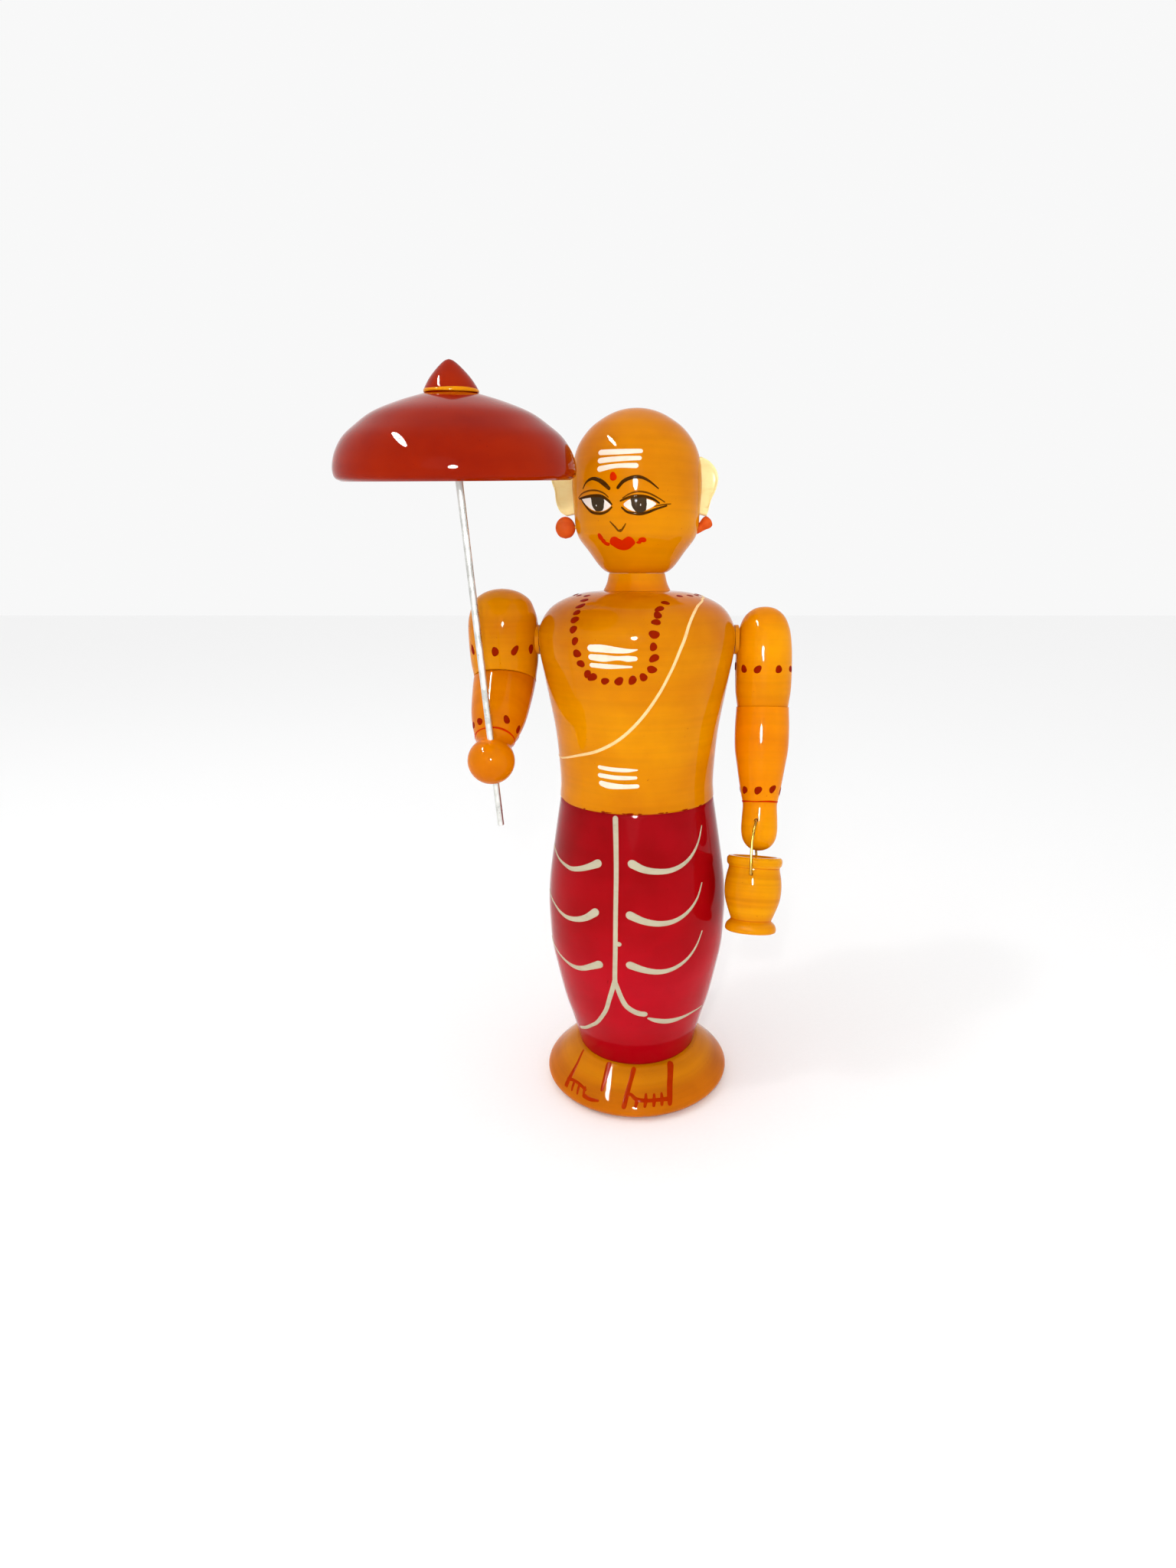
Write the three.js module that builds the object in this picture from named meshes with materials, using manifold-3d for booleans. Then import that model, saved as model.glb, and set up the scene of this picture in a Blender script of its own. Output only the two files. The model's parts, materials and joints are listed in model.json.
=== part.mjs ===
// Lathe-turned, lacquered wooden doll: a bald priest who holds an umbrella in the right fist
// and a small pot on a wire bail in the left hand. Millimetres, +Z up, the doll faces -Y, its
// right hand is on the -X side and the origin is the middle of the underside of the base.
import * as THREE from 'three';
import { mergeVertices } from 'three/addons/utils/BufferGeometryUtils.js';
import Module from 'manifold-3d';

const wasm = await Module();
wasm.setup();

// ---------------------------------------------------------------- driving dimensions (mm)
const GAP = 0.3; // clearance between pieces that touch
const BODY_SIDES = 36;
const LIMB_SIDES = 24;
const SMALL_SIDES = 12;

const BASE_TOP_Z = 12.6;
const WAIST_Z = 93.6;
const NECK_TOP_Z = 157.7;
const HEAD_HEIGHT = 42.9;
const DOWEL_R = 2.5;
const DOWEL_DEPTH = 9; // how far a body dowel goes into each piece

const SHOULDER_Z = 139.5;
const PEG_R = 2;
const PEG_IN_TORSO = 9;
const PEG_IN_ARM = 7;
const TORSO_FLAT_X = 27.9; // flat seat on each side of the torso
const ARM_FLAT_X = 28.45; // flat seat on the inner side of each arm

const RIGHT_ARM_X = -38.3;
const RIGHT_ELBOW = new THREE.Vector3(-38.5, 0, 128);
const FIST = new THREE.Vector3(-39.7, -20.9, 108.5);
const FIST_R = 6.4;
const ROD_R = 0.9;
const ROD_AT_FIST = new THREE.Vector3(-39.2, -20.9, 108.5);
const ROD_DIRECTION = new THREE.Vector3(-0.045, -0.139, 0.989).normalize();
const ROD_TAIL = 19.3; // below the fist's middle
const ROD_REACH = 85.6; // above the fist's middle

const CANOPY_RIM = new THREE.Vector3(-42.6, -30.7, 179.3);
const CANOPY_AXIS = new THREE.Vector3(-0.005, -0.11, 0.994).normalize();
const CANOPY_HEIGHT = 18.7;
const HUB_R = 4.4; // boss inside the canopy, round the rod
const HUB_FOOT = 8.6; // above the rim
const FINIAL_SPIGOT_R = 1.5;
const FINIAL_SPIGOT_LENGTH = 3;

const LEFT_ARM_X = 36.6;
const LEFT_UPPER_LENGTH = 19.3; // shoulder to elbow
const LEFT_UPPER_TILT = THREE.MathUtils.degToRad(6);
const LEFT_FORE_TILT = THREE.MathUtils.degToRad(15);
const LEFT_FORE_LEAN = 0.029; // inward, per unit of length
const ELBOW_DOWEL_R = 1.8;
const ELBOW_DOWEL_DEPTH = 6;

const POT_TILT = THREE.MathUtils.degToRad(17); // of the pot's hanging line, bottom forward
const BAIL_HOLE = new THREE.Vector3(34, -10.4, 88.3);
const WIRE_R = 0.35;
const WIRE_HOLE_R = 0.7;
const POT_MOUTH_DROP = 10.5; // bail hole to pot mouth
const POT_HEIGHT = 21.8;
const HOOK_DROP = 4.6; // pot mouth to the wire's hooks
const HOOK_YAW = THREE.MathUtils.degToRad(14);
const HOOK_REACH = 7.2;
const POT_ROLL = THREE.MathUtils.degToRad(4); // about the hooks, bottom towards the body

const EAR_THICKNESS = 3;
const EAR_ROOT_X = 14.6;
const EAR_BOTTOM_Z = 173.3;
const EAR_TOP_Z = 188.6;
const EARRING_PIN_R = 0.45;
const EARRING_PIN_HOLE_R = 0.75;
const EARRING_PIN_ROOT_X = 13.6;
const RIGHT_EARRING = new THREE.Vector3(-19.9, 0, 170.4);
const LEFT_EARRING = new THREE.Vector3(18.2, 0, 170.7);
const EARRING_R = 2.75;

// ---------------------------------------------------------------- profiles, [radius, height]
// Each goes up the outside of a turned piece. Heights are in the doll's frame where the piece
// stands upright, and from the piece's own end where it doesn't.
const BASE_PROFILE = [[24.8, 0], [27.6, 0.9], [28.7, 2.2], [28.9, 3.2], [28.3, 4.4], [25.1, 7.6],
  [22, 10.4], [19.6, BASE_TOP_Z]];
const DHOTI_PROFILE = [[18.5, BASE_TOP_Z + GAP], [19.6, 17.5], [21.2, 23.4], [22.9, 29], [25.2, 39.4],
  [26.6, 47], [27.1, 55], [27.2, 61.5], [26.7, 68.8], [25.3, 78.5], [23.8, 88], [22.9, WAIST_Z]];
const TORSO_PROFILE = [[22.9, WAIST_Z + GAP], [22.7, 98], [23.1, 105], [24, 114.4], [25.6, 123.5],
  [26.9, 130.5], [27.9, 136.5], [28.1, 142], [27, 145.2], [25.6, 147.4], [23.5, 149.4], [19.4, 151.5],
  [14.5, 152.8], [9.5, 153.3], [8.6, 155.2], [7.8, NECK_TOP_Z]];
const HEAD_PROFILE = [[8, 0], [9, 0.5], [10.4, 1.8], [13.5, 5.9], [16.2, 9.5], [17, 12], [17.5, 18],
  [17.8, 24], [17.2, 29.8], [15.8, 33.6], [13, 37.3], [10.2, 39.5], [7, 41.3], [4, 42.3], [0, HEAD_HEIGHT]];

// From the elbow's end upwards, and from the fist's or hand's end back to the elbow.
const RIGHT_UPPER_PROFILE = [[8.6, -8], [8.9, 0.3], [9.6, 5], [9.95, 11], [9.8, 16.8], [8.9, 20.2],
  [7.7, 22.7], [5.2, 24.6], [0, 25.8]];
const LEFT_UPPER_PROFILE = [[7, -5], [7.4, 0.2], [8, 4.8], [8.15, 12], [7.9, 18], [7.2, 22.4],
  [5.7, 25.8], [3.6, 27.7], [0, 28.6]];
const RIGHT_WRIST = [[4.9, 5.2], [5.4, 7], [6.4, 9.8], [7.6, 14.5], [8.4, 21], [8.9, 28.6], [8.9, 40]];
const LEFT_FORE_PROFILE = [[0, 0], [1.6, 0.3], [3.3, 1.2], [4.6, 3], [5.2, 5.6], [5.15, 9.5],
  [4.95, 13.2], [5.1, 14.4], [5.5, 16.2], [6.3, 20.6], [7, 25], [7.7, 29.6], [7.85, 36], [7.6, 41.9],
  [7.6, 47]];
const LEFT_FORE_LENGTH = 42;

const CANOPY_OUTER = [[26.8, 0], [27.9, 0.9], [28.15, 2.4], [27.8, 4.5], [26.8, 7], [25, 9.6],
  [22, 12.1], [18.3, 14.6], [12.2, 17], [6.5, CANOPY_HEIGHT]];
const CANOPY_INNER = [[24.8, 0], [23.2, 4.4], [19.8, 8.2], [15, 10.9], [9, 12.5], [0, 13]];
const FINIAL_PROFILE = [[6.2, GAP], [6.1, 0.9], [5.5, 2], [4.7, 3.2], [3.4, 4.7], [1.9, 6.1], [0.8, 7],
  [0, 7.2]];

const POT_OUTER = [[7, 0], [7.35, 1.1], [7, 2.3], [5.8, 3.5], [6.6, 5.5], [7.9, 9.5], [8.2, 13.2],
  [7.9, 16], [7.4, 18.4], [7.4, 18.9], [7.9, 19.6], [7.95, 21.2], [7.5, POT_HEIGHT]];
const POT_INNER = [[3.6, 3.8], [5.6, 6.5], [6.5, 11], [6.4, 14.5], [5.9, 18.6], [6.3, POT_HEIGHT]];

// Ear outlines, as (distance from the axis, height), from the lower root round the rim to the upper root.
// The ears are cut by hand, and the right one has the fuller lobe.
const LEFT_EAR_RIM = [[19, EAR_BOTTOM_Z], [19.7, 174.8], [20.4, 177.5], [21.6, 180.1], [22.2, 183.1],
  [21.4, 185.6], [19.6, 187.5], [17.4, EAR_TOP_Z]];
const RIGHT_EAR_RIM = [[19.4, EAR_BOTTOM_Z], [21.1, 174.3], [22.2, 176.6], [22.6, 179.9], [23.4, 182.5],
  [23.1, 185], [21.2, 187.3], [18, EAR_TOP_Z]];

// ---------------------------------------------------------------- solids
const UP = new THREE.Vector3(0, 0, 1);

// A closed three.js geometry as a manifold solid.
function solid(geometry) {
  geometry.deleteAttribute('normal');
  geometry.deleteAttribute('uv');
  const welded = mergeVertices(geometry);
  const corners = welded.index.array;
  const triangles = [];
  for (let i = 0; i < corners.length; i += 3) {
    const [a, b, c] = corners.slice(i, i + 3);
    if (a !== b && b !== c && c !== a) {
      triangles.push(a, b, c);
    }
  }
  return new wasm.Manifold(new wasm.Mesh({
    numProp: 3,
    vertProperties: Float32Array.from(welded.attributes.position.array),
    triVerts: Uint32Array.from(triangles),
  }));
}

function geometryOf(made) {
  const { vertProperties, triVerts } = made.getMesh();
  const geometry = new THREE.BufferGeometry();
  geometry.setAttribute('position', new THREE.BufferAttribute(vertProperties, 3));
  geometry.setIndex(new THREE.BufferAttribute(triVerts, 1));
  geometry.computeVertexNormals();
  return geometry;
}

// The turn that takes the Z axis to a direction, and then the move to a place.
function placement(place, direction) {
  const turn = new THREE.Quaternion().setFromUnitVectors(UP, direction);
  return new THREE.Matrix4().compose(place, turn, new THREE.Vector3(1, 1, 1));
}

// A turned piece about the Z axis: the profile is closed to the axis at both ends.
function turnedGeometry(profile, sides) {
  const points = profile.map(([radius, height]) => new THREE.Vector2(radius, height));
  const first = points[0];
  const last = points[points.length - 1];
  if (first.x > 0) {
    points.unshift(new THREE.Vector2(0, first.y));
  }
  if (last.x > 0) {
    points.push(new THREE.Vector2(0, last.y));
  }
  return new THREE.LatheGeometry(points, sides).rotateX(Math.PI / 2);
}

function turned(profile, sides, place = new THREE.Vector3(), direction = UP) {
  return solid(turnedGeometry(profile, sides).applyMatrix4(placement(place, direction)));
}

// A round bar between two points.
function bar(start, end, radius, sides = SMALL_SIDES) {
  const along = end.clone().sub(start);
  const profile = [[radius, 0], [radius, along.length()]];
  return turned(profile, sides, start, along.normalize());
}

// Everything on the far side of a plane, as a block large enough for any piece here.
function beyond(point, normal) {
  const size = 120;
  const block = new THREE.BoxGeometry(size, size, size).translate(0, 0, size / 2);
  return solid(block.applyMatrix4(placement(point, normal)));
}

function along(start, direction, distance) {
  return start.clone().addScaledVector(direction, distance);
}

// ---------------------------------------------------------------- materials
function finish(color, roughness, metalness = 0) {
  return new THREE.MeshStandardMaterial({ color, roughness, metalness });
}

const YELLOW_LACQUER = finish(0xe08c00, 0.25);
const RED_LACQUER = finish(0xa5000a, 0.25);
const UMBRELLA_LACQUER = finish(0x9c2400, 0.2);
const EAR_PAINT = finish(0xf0d796, 0.4);
const EARRING_PAINT = finish(0xcd4628, 0.35);
const BARE_WOOD = finish(0xc9a26b, 0.8);
const STEEL = finish(0xc8c8c4, 0.3, 1);
const BRASS = finish(0xb8923a, 0.3, 1);

const doll = new THREE.Group();

function add(name, made, material) {
  const mesh = new THREE.Mesh(geometryOf(made), material);
  mesh.name = name;
  doll.add(mesh);
}

// ---------------------------------------------------------------- body
function dowelHole(low, high) {
  return bar(new THREE.Vector3(0, 0, low), new THREE.Vector3(0, 0, high), DOWEL_R + GAP);
}

function dowel(middle) {
  const reach = DOWEL_DEPTH - GAP;
  return bar(new THREE.Vector3(0, 0, middle - reach), new THREE.Vector3(0, 0, middle + reach), DOWEL_R);
}

const pegIn = TORSO_FLAT_X - PEG_IN_TORSO;
const pegOut = ARM_FLAT_X + PEG_IN_ARM;

// A bar along X at the shoulder, on the side of the doll given by the sign.
function shoulderBar(side, from, to, radius) {
  const start = new THREE.Vector3(side * from, 0, SHOULDER_Z);
  return bar(start, new THREE.Vector3(side * to, 0, SHOULDER_Z), radius);
}

const base = turned(BASE_PROFILE, BODY_SIDES)
  .subtract(dowelHole(BASE_TOP_Z - DOWEL_DEPTH, BASE_TOP_Z + 1));
const dhoti = turned(DHOTI_PROFILE, BODY_SIDES)
  .subtract(dowelHole(BASE_TOP_Z - 1, BASE_TOP_Z + GAP + DOWEL_DEPTH))
  .subtract(dowelHole(WAIST_Z - DOWEL_DEPTH, WAIST_Z + 1));
let torso = turned(TORSO_PROFILE, BODY_SIDES)
  .subtract(dowelHole(WAIST_Z - 1, WAIST_Z + GAP + DOWEL_DEPTH))
  .subtract(dowelHole(NECK_TOP_Z - DOWEL_DEPTH, NECK_TOP_Z + 1));
for (const side of [-1, 1]) {
  const outward = new THREE.Vector3(side, 0, 0);
  torso = torso
    .subtract(beyond(new THREE.Vector3(side * TORSO_FLAT_X, 0, SHOULDER_Z), outward))
    .subtract(shoulderBar(side, pegIn - GAP, pegOut, PEG_R + GAP));
}
add('base', base, YELLOW_LACQUER);
add('base_dowel', dowel(BASE_TOP_Z + GAP / 2), BARE_WOOD);
add('dhoti', dhoti, RED_LACQUER);
add('waist_dowel', dowel(WAIST_Z + GAP / 2), BARE_WOOD);
add('torso', torso, YELLOW_LACQUER);
add('shoulder_peg_right', shoulderBar(-1, pegIn, pegOut, PEG_R), BARE_WOOD);
add('shoulder_peg_left', shoulderBar(1, pegIn, pegOut, PEG_R), BARE_WOOD);

// ---------------------------------------------------------------- head
const chin = new THREE.Vector3(0, 0, NECK_TOP_Z + GAP);
const grownHeadProfile = HEAD_PROFILE.map(([radius, height]) => [radius + GAP, height]);
const grownHead = turned(grownHeadProfile, BODY_SIDES, chin);

function earPlate(side, rim) {
  const outline = new THREE.Shape();
  outline.moveTo(EAR_ROOT_X, EAR_BOTTOM_Z + 1.2);
  outline.lineTo(rim[0][0] - 1.4, EAR_BOTTOM_Z + 0.3);
  outline.splineThru(rim.map(([x, z]) => new THREE.Vector2(x, z)));
  outline.lineTo(EAR_ROOT_X, EAR_TOP_Z - 1.2);
  outline.closePath();
  const options = { depth: EAR_THICKNESS, bevelEnabled: false, curveSegments: 2 };
  const plate = new THREE.ExtrudeGeometry(outline, options).rotateX(Math.PI / 2)
    .translate(0, EAR_THICKNESS / 2, 0);
  return side > 0 ? solid(plate) : solid(plate.rotateZ(Math.PI));
}

// The slot in the head that takes an ear's root.
function earSlot(side) {
  const depth = 12;
  const height = EAR_TOP_Z - EAR_BOTTOM_Z;
  const slot = new THREE.BoxGeometry(depth, EAR_THICKNESS + 2 * GAP, height + 2 * GAP);
  const middleX = side * (EAR_ROOT_X - GAP + depth / 2);
  return solid(slot.translate(middleX, 0, (EAR_TOP_Z + EAR_BOTTOM_Z) / 2));
}

function earringPin(side, place, radius, extra = 0) {
  const root = new THREE.Vector3(side * (EARRING_PIN_ROOT_X - extra), 0, place.z);
  return bar(root, new THREE.Vector3(place.x + side * extra, 0, place.z), radius, 8);
}

// A round bead, and a stud that flares outward.
const BEAD_PROFILE = [[0, -3.1], [1.6, -2.6], [2.6, -1.2], [EARRING_R, 0.1], [2.2, 1.5], [1.1, 2.5],
  [0, 2.8]];
const STUD_PROFILE = [[0, -3.1], [0.7, -2.7], [1.3, 0], [1.7, 1.5], [1.5, 2.3], [0, 2.8]];
const STUD_AXIS = new THREE.Vector3(0.8, 0, 0.6).normalize();

let head = turned(HEAD_PROFILE, BODY_SIDES, chin)
  .subtract(dowelHole(NECK_TOP_Z, NECK_TOP_Z + GAP + DOWEL_DEPTH));
const BEAD_SIDES = LIMB_SIDES / 2;
const sides = [
  {
    name: 'right', side: -1, rim: RIGHT_EAR_RIM, place: RIGHT_EARRING,
    bead: turned(BEAD_PROFILE, BEAD_SIDES, RIGHT_EARRING),
  },
  {
    name: 'left', side: 1, rim: LEFT_EAR_RIM, place: LEFT_EARRING,
    bead: turned(STUD_PROFILE, BEAD_SIDES, LEFT_EARRING, STUD_AXIS),
  },
];
for (const { name, side, rim, place, bead } of sides) {
  head = head.subtract(earSlot(side)).subtract(earringPin(side, place, EARRING_PIN_HOLE_R, GAP));
  add(`ear_${name}`, earPlate(side, rim), EAR_PAINT);
  add(`earring_${name}`, bead.subtract(grownHead)
    .subtract(earringPin(side, place, EARRING_PIN_HOLE_R, GAP)), EARRING_PAINT);
  add(`earring_pin_${name}`, earringPin(side, place, EARRING_PIN_R), BRASS);
}
add('head', head, YELLOW_LACQUER);
add('neck_dowel', dowel(NECK_TOP_Z + GAP / 2), BARE_WOOD);

// ---------------------------------------------------------------- arms
// Both arms are mitred at the elbow and glued round a dowel that runs square to the mitre.
function elbowCuts(elbow, upper, fore) {
  const down = upper.clone().add(fore).normalize();
  const up = down.clone().negate();
  return {
    below: beyond(along(elbow, up, GAP / 2), down),
    above: beyond(along(elbow, down, GAP / 2), up),
    dowel: bar(along(elbow, up, ELBOW_DOWEL_DEPTH - GAP), along(elbow, down, ELBOW_DOWEL_DEPTH - GAP),
      ELBOW_DOWEL_R),
    hole: bar(along(elbow, up, ELBOW_DOWEL_DEPTH), along(elbow, down, ELBOW_DOWEL_DEPTH),
      ELBOW_DOWEL_R + GAP),
  };
}

// The block on the body's side of the flat seat, and the hole for the shoulder peg.
function shoulderCuts(side) {
  const inward = new THREE.Vector3(-side, 0, 0);
  const flat = beyond(new THREE.Vector3(side * ARM_FLAT_X, 0, SHOULDER_Z), inward);
  return flat.add(shoulderBar(side, ARM_FLAT_X - 1, pegOut + GAP, PEG_R + GAP));
}

// Right arm, bent at the elbow, with a ball for a fist.
const straightDown = new THREE.Vector3(0, 0, -1);
const rightFore = FIST.clone().sub(RIGHT_ELBOW).normalize();
const rightCuts = elbowCuts(RIGHT_ELBOW, straightDown, rightFore);
const rightShoulder = new THREE.Vector3(RIGHT_ARM_X, 0, RIGHT_ELBOW.z);
const fistProfile = [];
for (let i = 0; i <= 6; i += 1) {
  const angle = (i / 6) * 0.7 * Math.PI;
  fistProfile.push([FIST_R * Math.sin(angle), -FIST_R * Math.cos(angle)]);
}
const rightUpper = turned(RIGHT_UPPER_PROFILE, LIMB_SIDES, rightShoulder)
  .subtract(rightCuts.below)
  .subtract(rightCuts.hole)
  .subtract(shoulderCuts(-1));
const rodHole = bar(along(ROD_AT_FIST, ROD_DIRECTION, -30), along(ROD_AT_FIST, ROD_DIRECTION, 30),
  ROD_R + GAP);
const rightForearm = turned([...fistProfile, ...RIGHT_WRIST], LIMB_SIDES, FIST, rightFore.clone().negate())
  .subtract(rightCuts.above)
  .subtract(rightCuts.hole)
  .subtract(rodHole);
add('right_upper_arm', rightUpper, YELLOW_LACQUER);
add('right_forearm', rightForearm, YELLOW_LACQUER);
add('right_elbow_dowel', rightCuts.dowel, BARE_WOOD);

// Left arm, hanging a little forward, with a rounded hand that is drilled for the bail.
const leftUpperDown = new THREE.Vector3(0, -Math.sin(LEFT_UPPER_TILT), -Math.cos(LEFT_UPPER_TILT));
const leftFore = new THREE.Vector3(-LEFT_FORE_LEAN, -Math.sin(LEFT_FORE_TILT), -Math.cos(LEFT_FORE_TILT));
leftFore.normalize();
const leftShoulder = new THREE.Vector3(LEFT_ARM_X, 0, SHOULDER_Z);
const leftElbow = along(leftShoulder, leftUpperDown, LEFT_UPPER_LENGTH);
const leftTip = along(leftElbow, leftFore, LEFT_FORE_LENGTH);
const leftCuts = elbowCuts(leftElbow, leftUpperDown, leftFore);

// The bail's frame: ahead is out of the front of the hand, hang is along the pot's hanging line.
const ahead = new THREE.Vector3(0, -Math.cos(POT_TILT), Math.sin(POT_TILT));
const hang = new THREE.Vector3(0, -Math.sin(POT_TILT), -Math.cos(POT_TILT));
const sideways = new THREE.Vector3(1, 0, 0);

function inBailFrame(x, forward, drop) {
  return along(along(along(BAIL_HOLE, sideways, x), ahead, forward), hang, drop);
}

const leftUpper = turned(LEFT_UPPER_PROFILE, LIMB_SIDES, leftElbow, leftUpperDown.clone().negate())
  .subtract(leftCuts.below)
  .subtract(leftCuts.hole)
  .subtract(shoulderCuts(1));
const leftForearm = turned(LEFT_FORE_PROFILE, LIMB_SIDES, leftTip, leftFore.clone().negate())
  .subtract(leftCuts.above)
  .subtract(leftCuts.hole)
  .subtract(bar(inBailFrame(0, -10, 0), inBailFrame(0, 10, 0), WIRE_HOLE_R, 8));
add('left_upper_arm', leftUpper, YELLOW_LACQUER);
add('left_forearm', leftForearm, YELLOW_LACQUER);
add('left_elbow_dowel', leftCuts.dowel, BARE_WOOD);

// ---------------------------------------------------------------- umbrella
const rodTail = along(ROD_AT_FIST, ROD_DIRECTION, -ROD_TAIL);
const rodTop = along(ROD_AT_FIST, ROD_DIRECTION, ROD_REACH);
const rodSocket = bar(along(ROD_AT_FIST, ROD_DIRECTION, ROD_REACH - 30),
  along(rodTop, ROD_DIRECTION, GAP), ROD_R + GAP);
const crown = along(CANOPY_RIM, CANOPY_AXIS, CANOPY_HEIGHT);
const spigotHole = bar(along(crown, CANOPY_AXIS, -FINIAL_SPIGOT_LENGTH), along(crown, CANOPY_AXIS, 1),
  FINIAL_SPIGOT_R + GAP);
const spigot = bar(along(crown, CANOPY_AXIS, GAP - FINIAL_SPIGOT_LENGTH), along(crown, CANOPY_AXIS, 1),
  FINIAL_SPIGOT_R);
const canopyHollow = turned([[CANOPY_INNER[0][0], -1], ...CANOPY_INNER], BODY_SIDES, CANOPY_RIM,
  CANOPY_AXIS);
const canopyHub = turned([[HUB_R, HUB_FOOT], [HUB_R, CANOPY_HEIGHT - FINIAL_SPIGOT_LENGTH]], LIMB_SIDES,
  CANOPY_RIM, CANOPY_AXIS);
const canopy = turned(CANOPY_OUTER, BODY_SIDES, CANOPY_RIM, CANOPY_AXIS)
  .subtract(canopyHollow)
  .add(canopyHub)
  .subtract(rodSocket)
  .subtract(spigotHole);
add('umbrella_rod', bar(rodTail, rodTop, ROD_R, 16), STEEL);
add('canopy', canopy, UMBRELLA_LACQUER);
add('finial', turned(FINIAL_PROFILE, LIMB_SIDES, crown, CANOPY_AXIS).add(spigot), UMBRELLA_LACQUER);

// ---------------------------------------------------------------- pot and bail
// One half of the wire, from the middle of the hand out of the front and down to its hook. The
// other half is the same half turned by 180 degrees about the hanging line.
const hookX = -Math.sin(HOOK_YAW);
const hookForward = Math.cos(HOOK_YAW);
const hookDrop = POT_MOUTH_DROP + HOOK_DROP;
const HALF_WIRE = [[0, 2.5, 0], [0, 5.2, 0], [-0.25, 6.2, 0.5], [-0.9, 7.2, 2.6], [-1.6, 8.1, 6],
  [-2, 8.7, 10], [-2.1, 8.8, 12.8]];

function wirePath() {
  const half = HALF_WIRE.map((point) => point.slice());
  for (const reach of [HOOK_REACH + 1.3, HOOK_REACH, HOOK_REACH - 0.6]) {
    half.push([hookX * reach, hookForward * reach, hookDrop]);
  }
  const other = half.map(([x, forward, drop]) => [-x, -forward, drop]).reverse();
  const points = [...other, [0, 0, 0], ...half];
  return new THREE.CatmullRomCurve3(points.map((point) => inBailFrame(...point)), false, 'centripetal');
}

function wireSection() {
  const section = new THREE.Shape();
  section.absarc(0, 0, WIRE_R, 0, 2 * Math.PI);
  return section;
}

const wire = new THREE.ExtrudeGeometry(wireSection(),
  { steps: 48, curveSegments: 4, bevelEnabled: false, extrudePath: wirePath() });
const hookAxis = ahead.clone().multiplyScalar(hookForward).addScaledVector(sideways, hookX);
const potDown = hang.clone().applyAxisAngle(hookAxis, -POT_ROLL);
const potUp = potDown.clone().negate();
const potBottom = along(inBailFrame(0, 0, hookDrop), potDown, POT_HEIGHT - HOOK_DROP);
const potInside = turned([...POT_INNER, [POT_INNER[POT_INNER.length - 1][0], POT_HEIGHT + 1]], LIMB_SIDES,
  potBottom, potUp);
const hookHole = bar(inBailFrame(hookX * 10, hookForward * 10, hookDrop),
  inBailFrame(-hookX * 10, -hookForward * 10, hookDrop), WIRE_HOLE_R, 8);
const pot = turned(POT_OUTER, LIMB_SIDES, potBottom, potUp).subtract(potInside).subtract(hookHole);
add('pot_bail', solid(wire), BRASS);
add('pot', pot, YELLOW_LACQUER);

export default doll;
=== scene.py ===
"""Looks of a lathe-turned, lacquered wooden doll that holds an umbrella and a small pot.

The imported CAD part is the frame: metres, +Z up, the doll faces -Y and its right hand is on -X.
Lengths here are in millimetres, and MM turns them into metres. Painted marks are laid on the turned
surfaces by angle, in degrees from the doll's front towards its left hand, and by height.
"""
import json
import math

import bmesh
import bpy
import numpy as np
from mathutils import Matrix, Vector


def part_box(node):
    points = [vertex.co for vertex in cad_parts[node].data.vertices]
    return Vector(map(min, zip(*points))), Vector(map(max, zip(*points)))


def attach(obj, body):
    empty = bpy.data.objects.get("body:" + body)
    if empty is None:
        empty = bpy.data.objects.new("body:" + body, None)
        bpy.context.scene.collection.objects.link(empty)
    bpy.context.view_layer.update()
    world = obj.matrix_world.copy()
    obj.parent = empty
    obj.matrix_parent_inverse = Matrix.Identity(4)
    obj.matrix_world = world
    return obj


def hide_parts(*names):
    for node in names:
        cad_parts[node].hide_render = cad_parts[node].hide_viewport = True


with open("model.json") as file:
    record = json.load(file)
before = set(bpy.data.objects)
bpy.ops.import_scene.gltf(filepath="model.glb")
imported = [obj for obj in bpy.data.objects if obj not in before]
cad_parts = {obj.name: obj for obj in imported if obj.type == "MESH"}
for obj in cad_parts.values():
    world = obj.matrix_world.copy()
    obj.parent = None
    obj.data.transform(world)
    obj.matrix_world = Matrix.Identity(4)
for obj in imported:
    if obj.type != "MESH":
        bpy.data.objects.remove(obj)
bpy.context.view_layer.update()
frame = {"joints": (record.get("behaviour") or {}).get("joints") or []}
scene = bpy.context.scene
joints = {joint["name"]: joint for joint in frame["joints"]}

MM = 0.001
UP = Vector((0, 0, 1))
SIDES = 120  # faces round a turned piece
LIFT = 0.1  # how far paint stands off the lacquer
SINK = 0.05  # how far the rim of a paint mark goes under the surface
JOINT_GAP = 0.02  # half the gap of a glued joint
PLAY = 0.1  # how much wider a hole is than what goes in it, on the radius
DOWEL_R = 2.5
PEG_R = 2
SEAT_R = 4.2  # the lac seat between a shoulder and an arm
ELBOW_DOWEL_R = 1.8
ELBOW_REACH = 5.7  # half the length of an elbow dowel


# ---------------- places, read from the frame where it has them, and else as in the CAD part
def low(node):
    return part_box(node)[0] / MM


def high(node):
    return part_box(node)[1] / MM


def middle(node):
    return (low(node) + high(node)) / 2


def half(node):
    return high(node) - middle(node)


BASE_TOP = high("base").z
WAIST = high("dhoti").z
CHIN = low("head").z
SHOULDER = Vector(joints["left_shoulder_swing"]["pos_m"]) / MM
TORSO_FLAT_X = high("torso").x
ARM_FLAT_X = low("left_upper_arm").x

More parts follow.
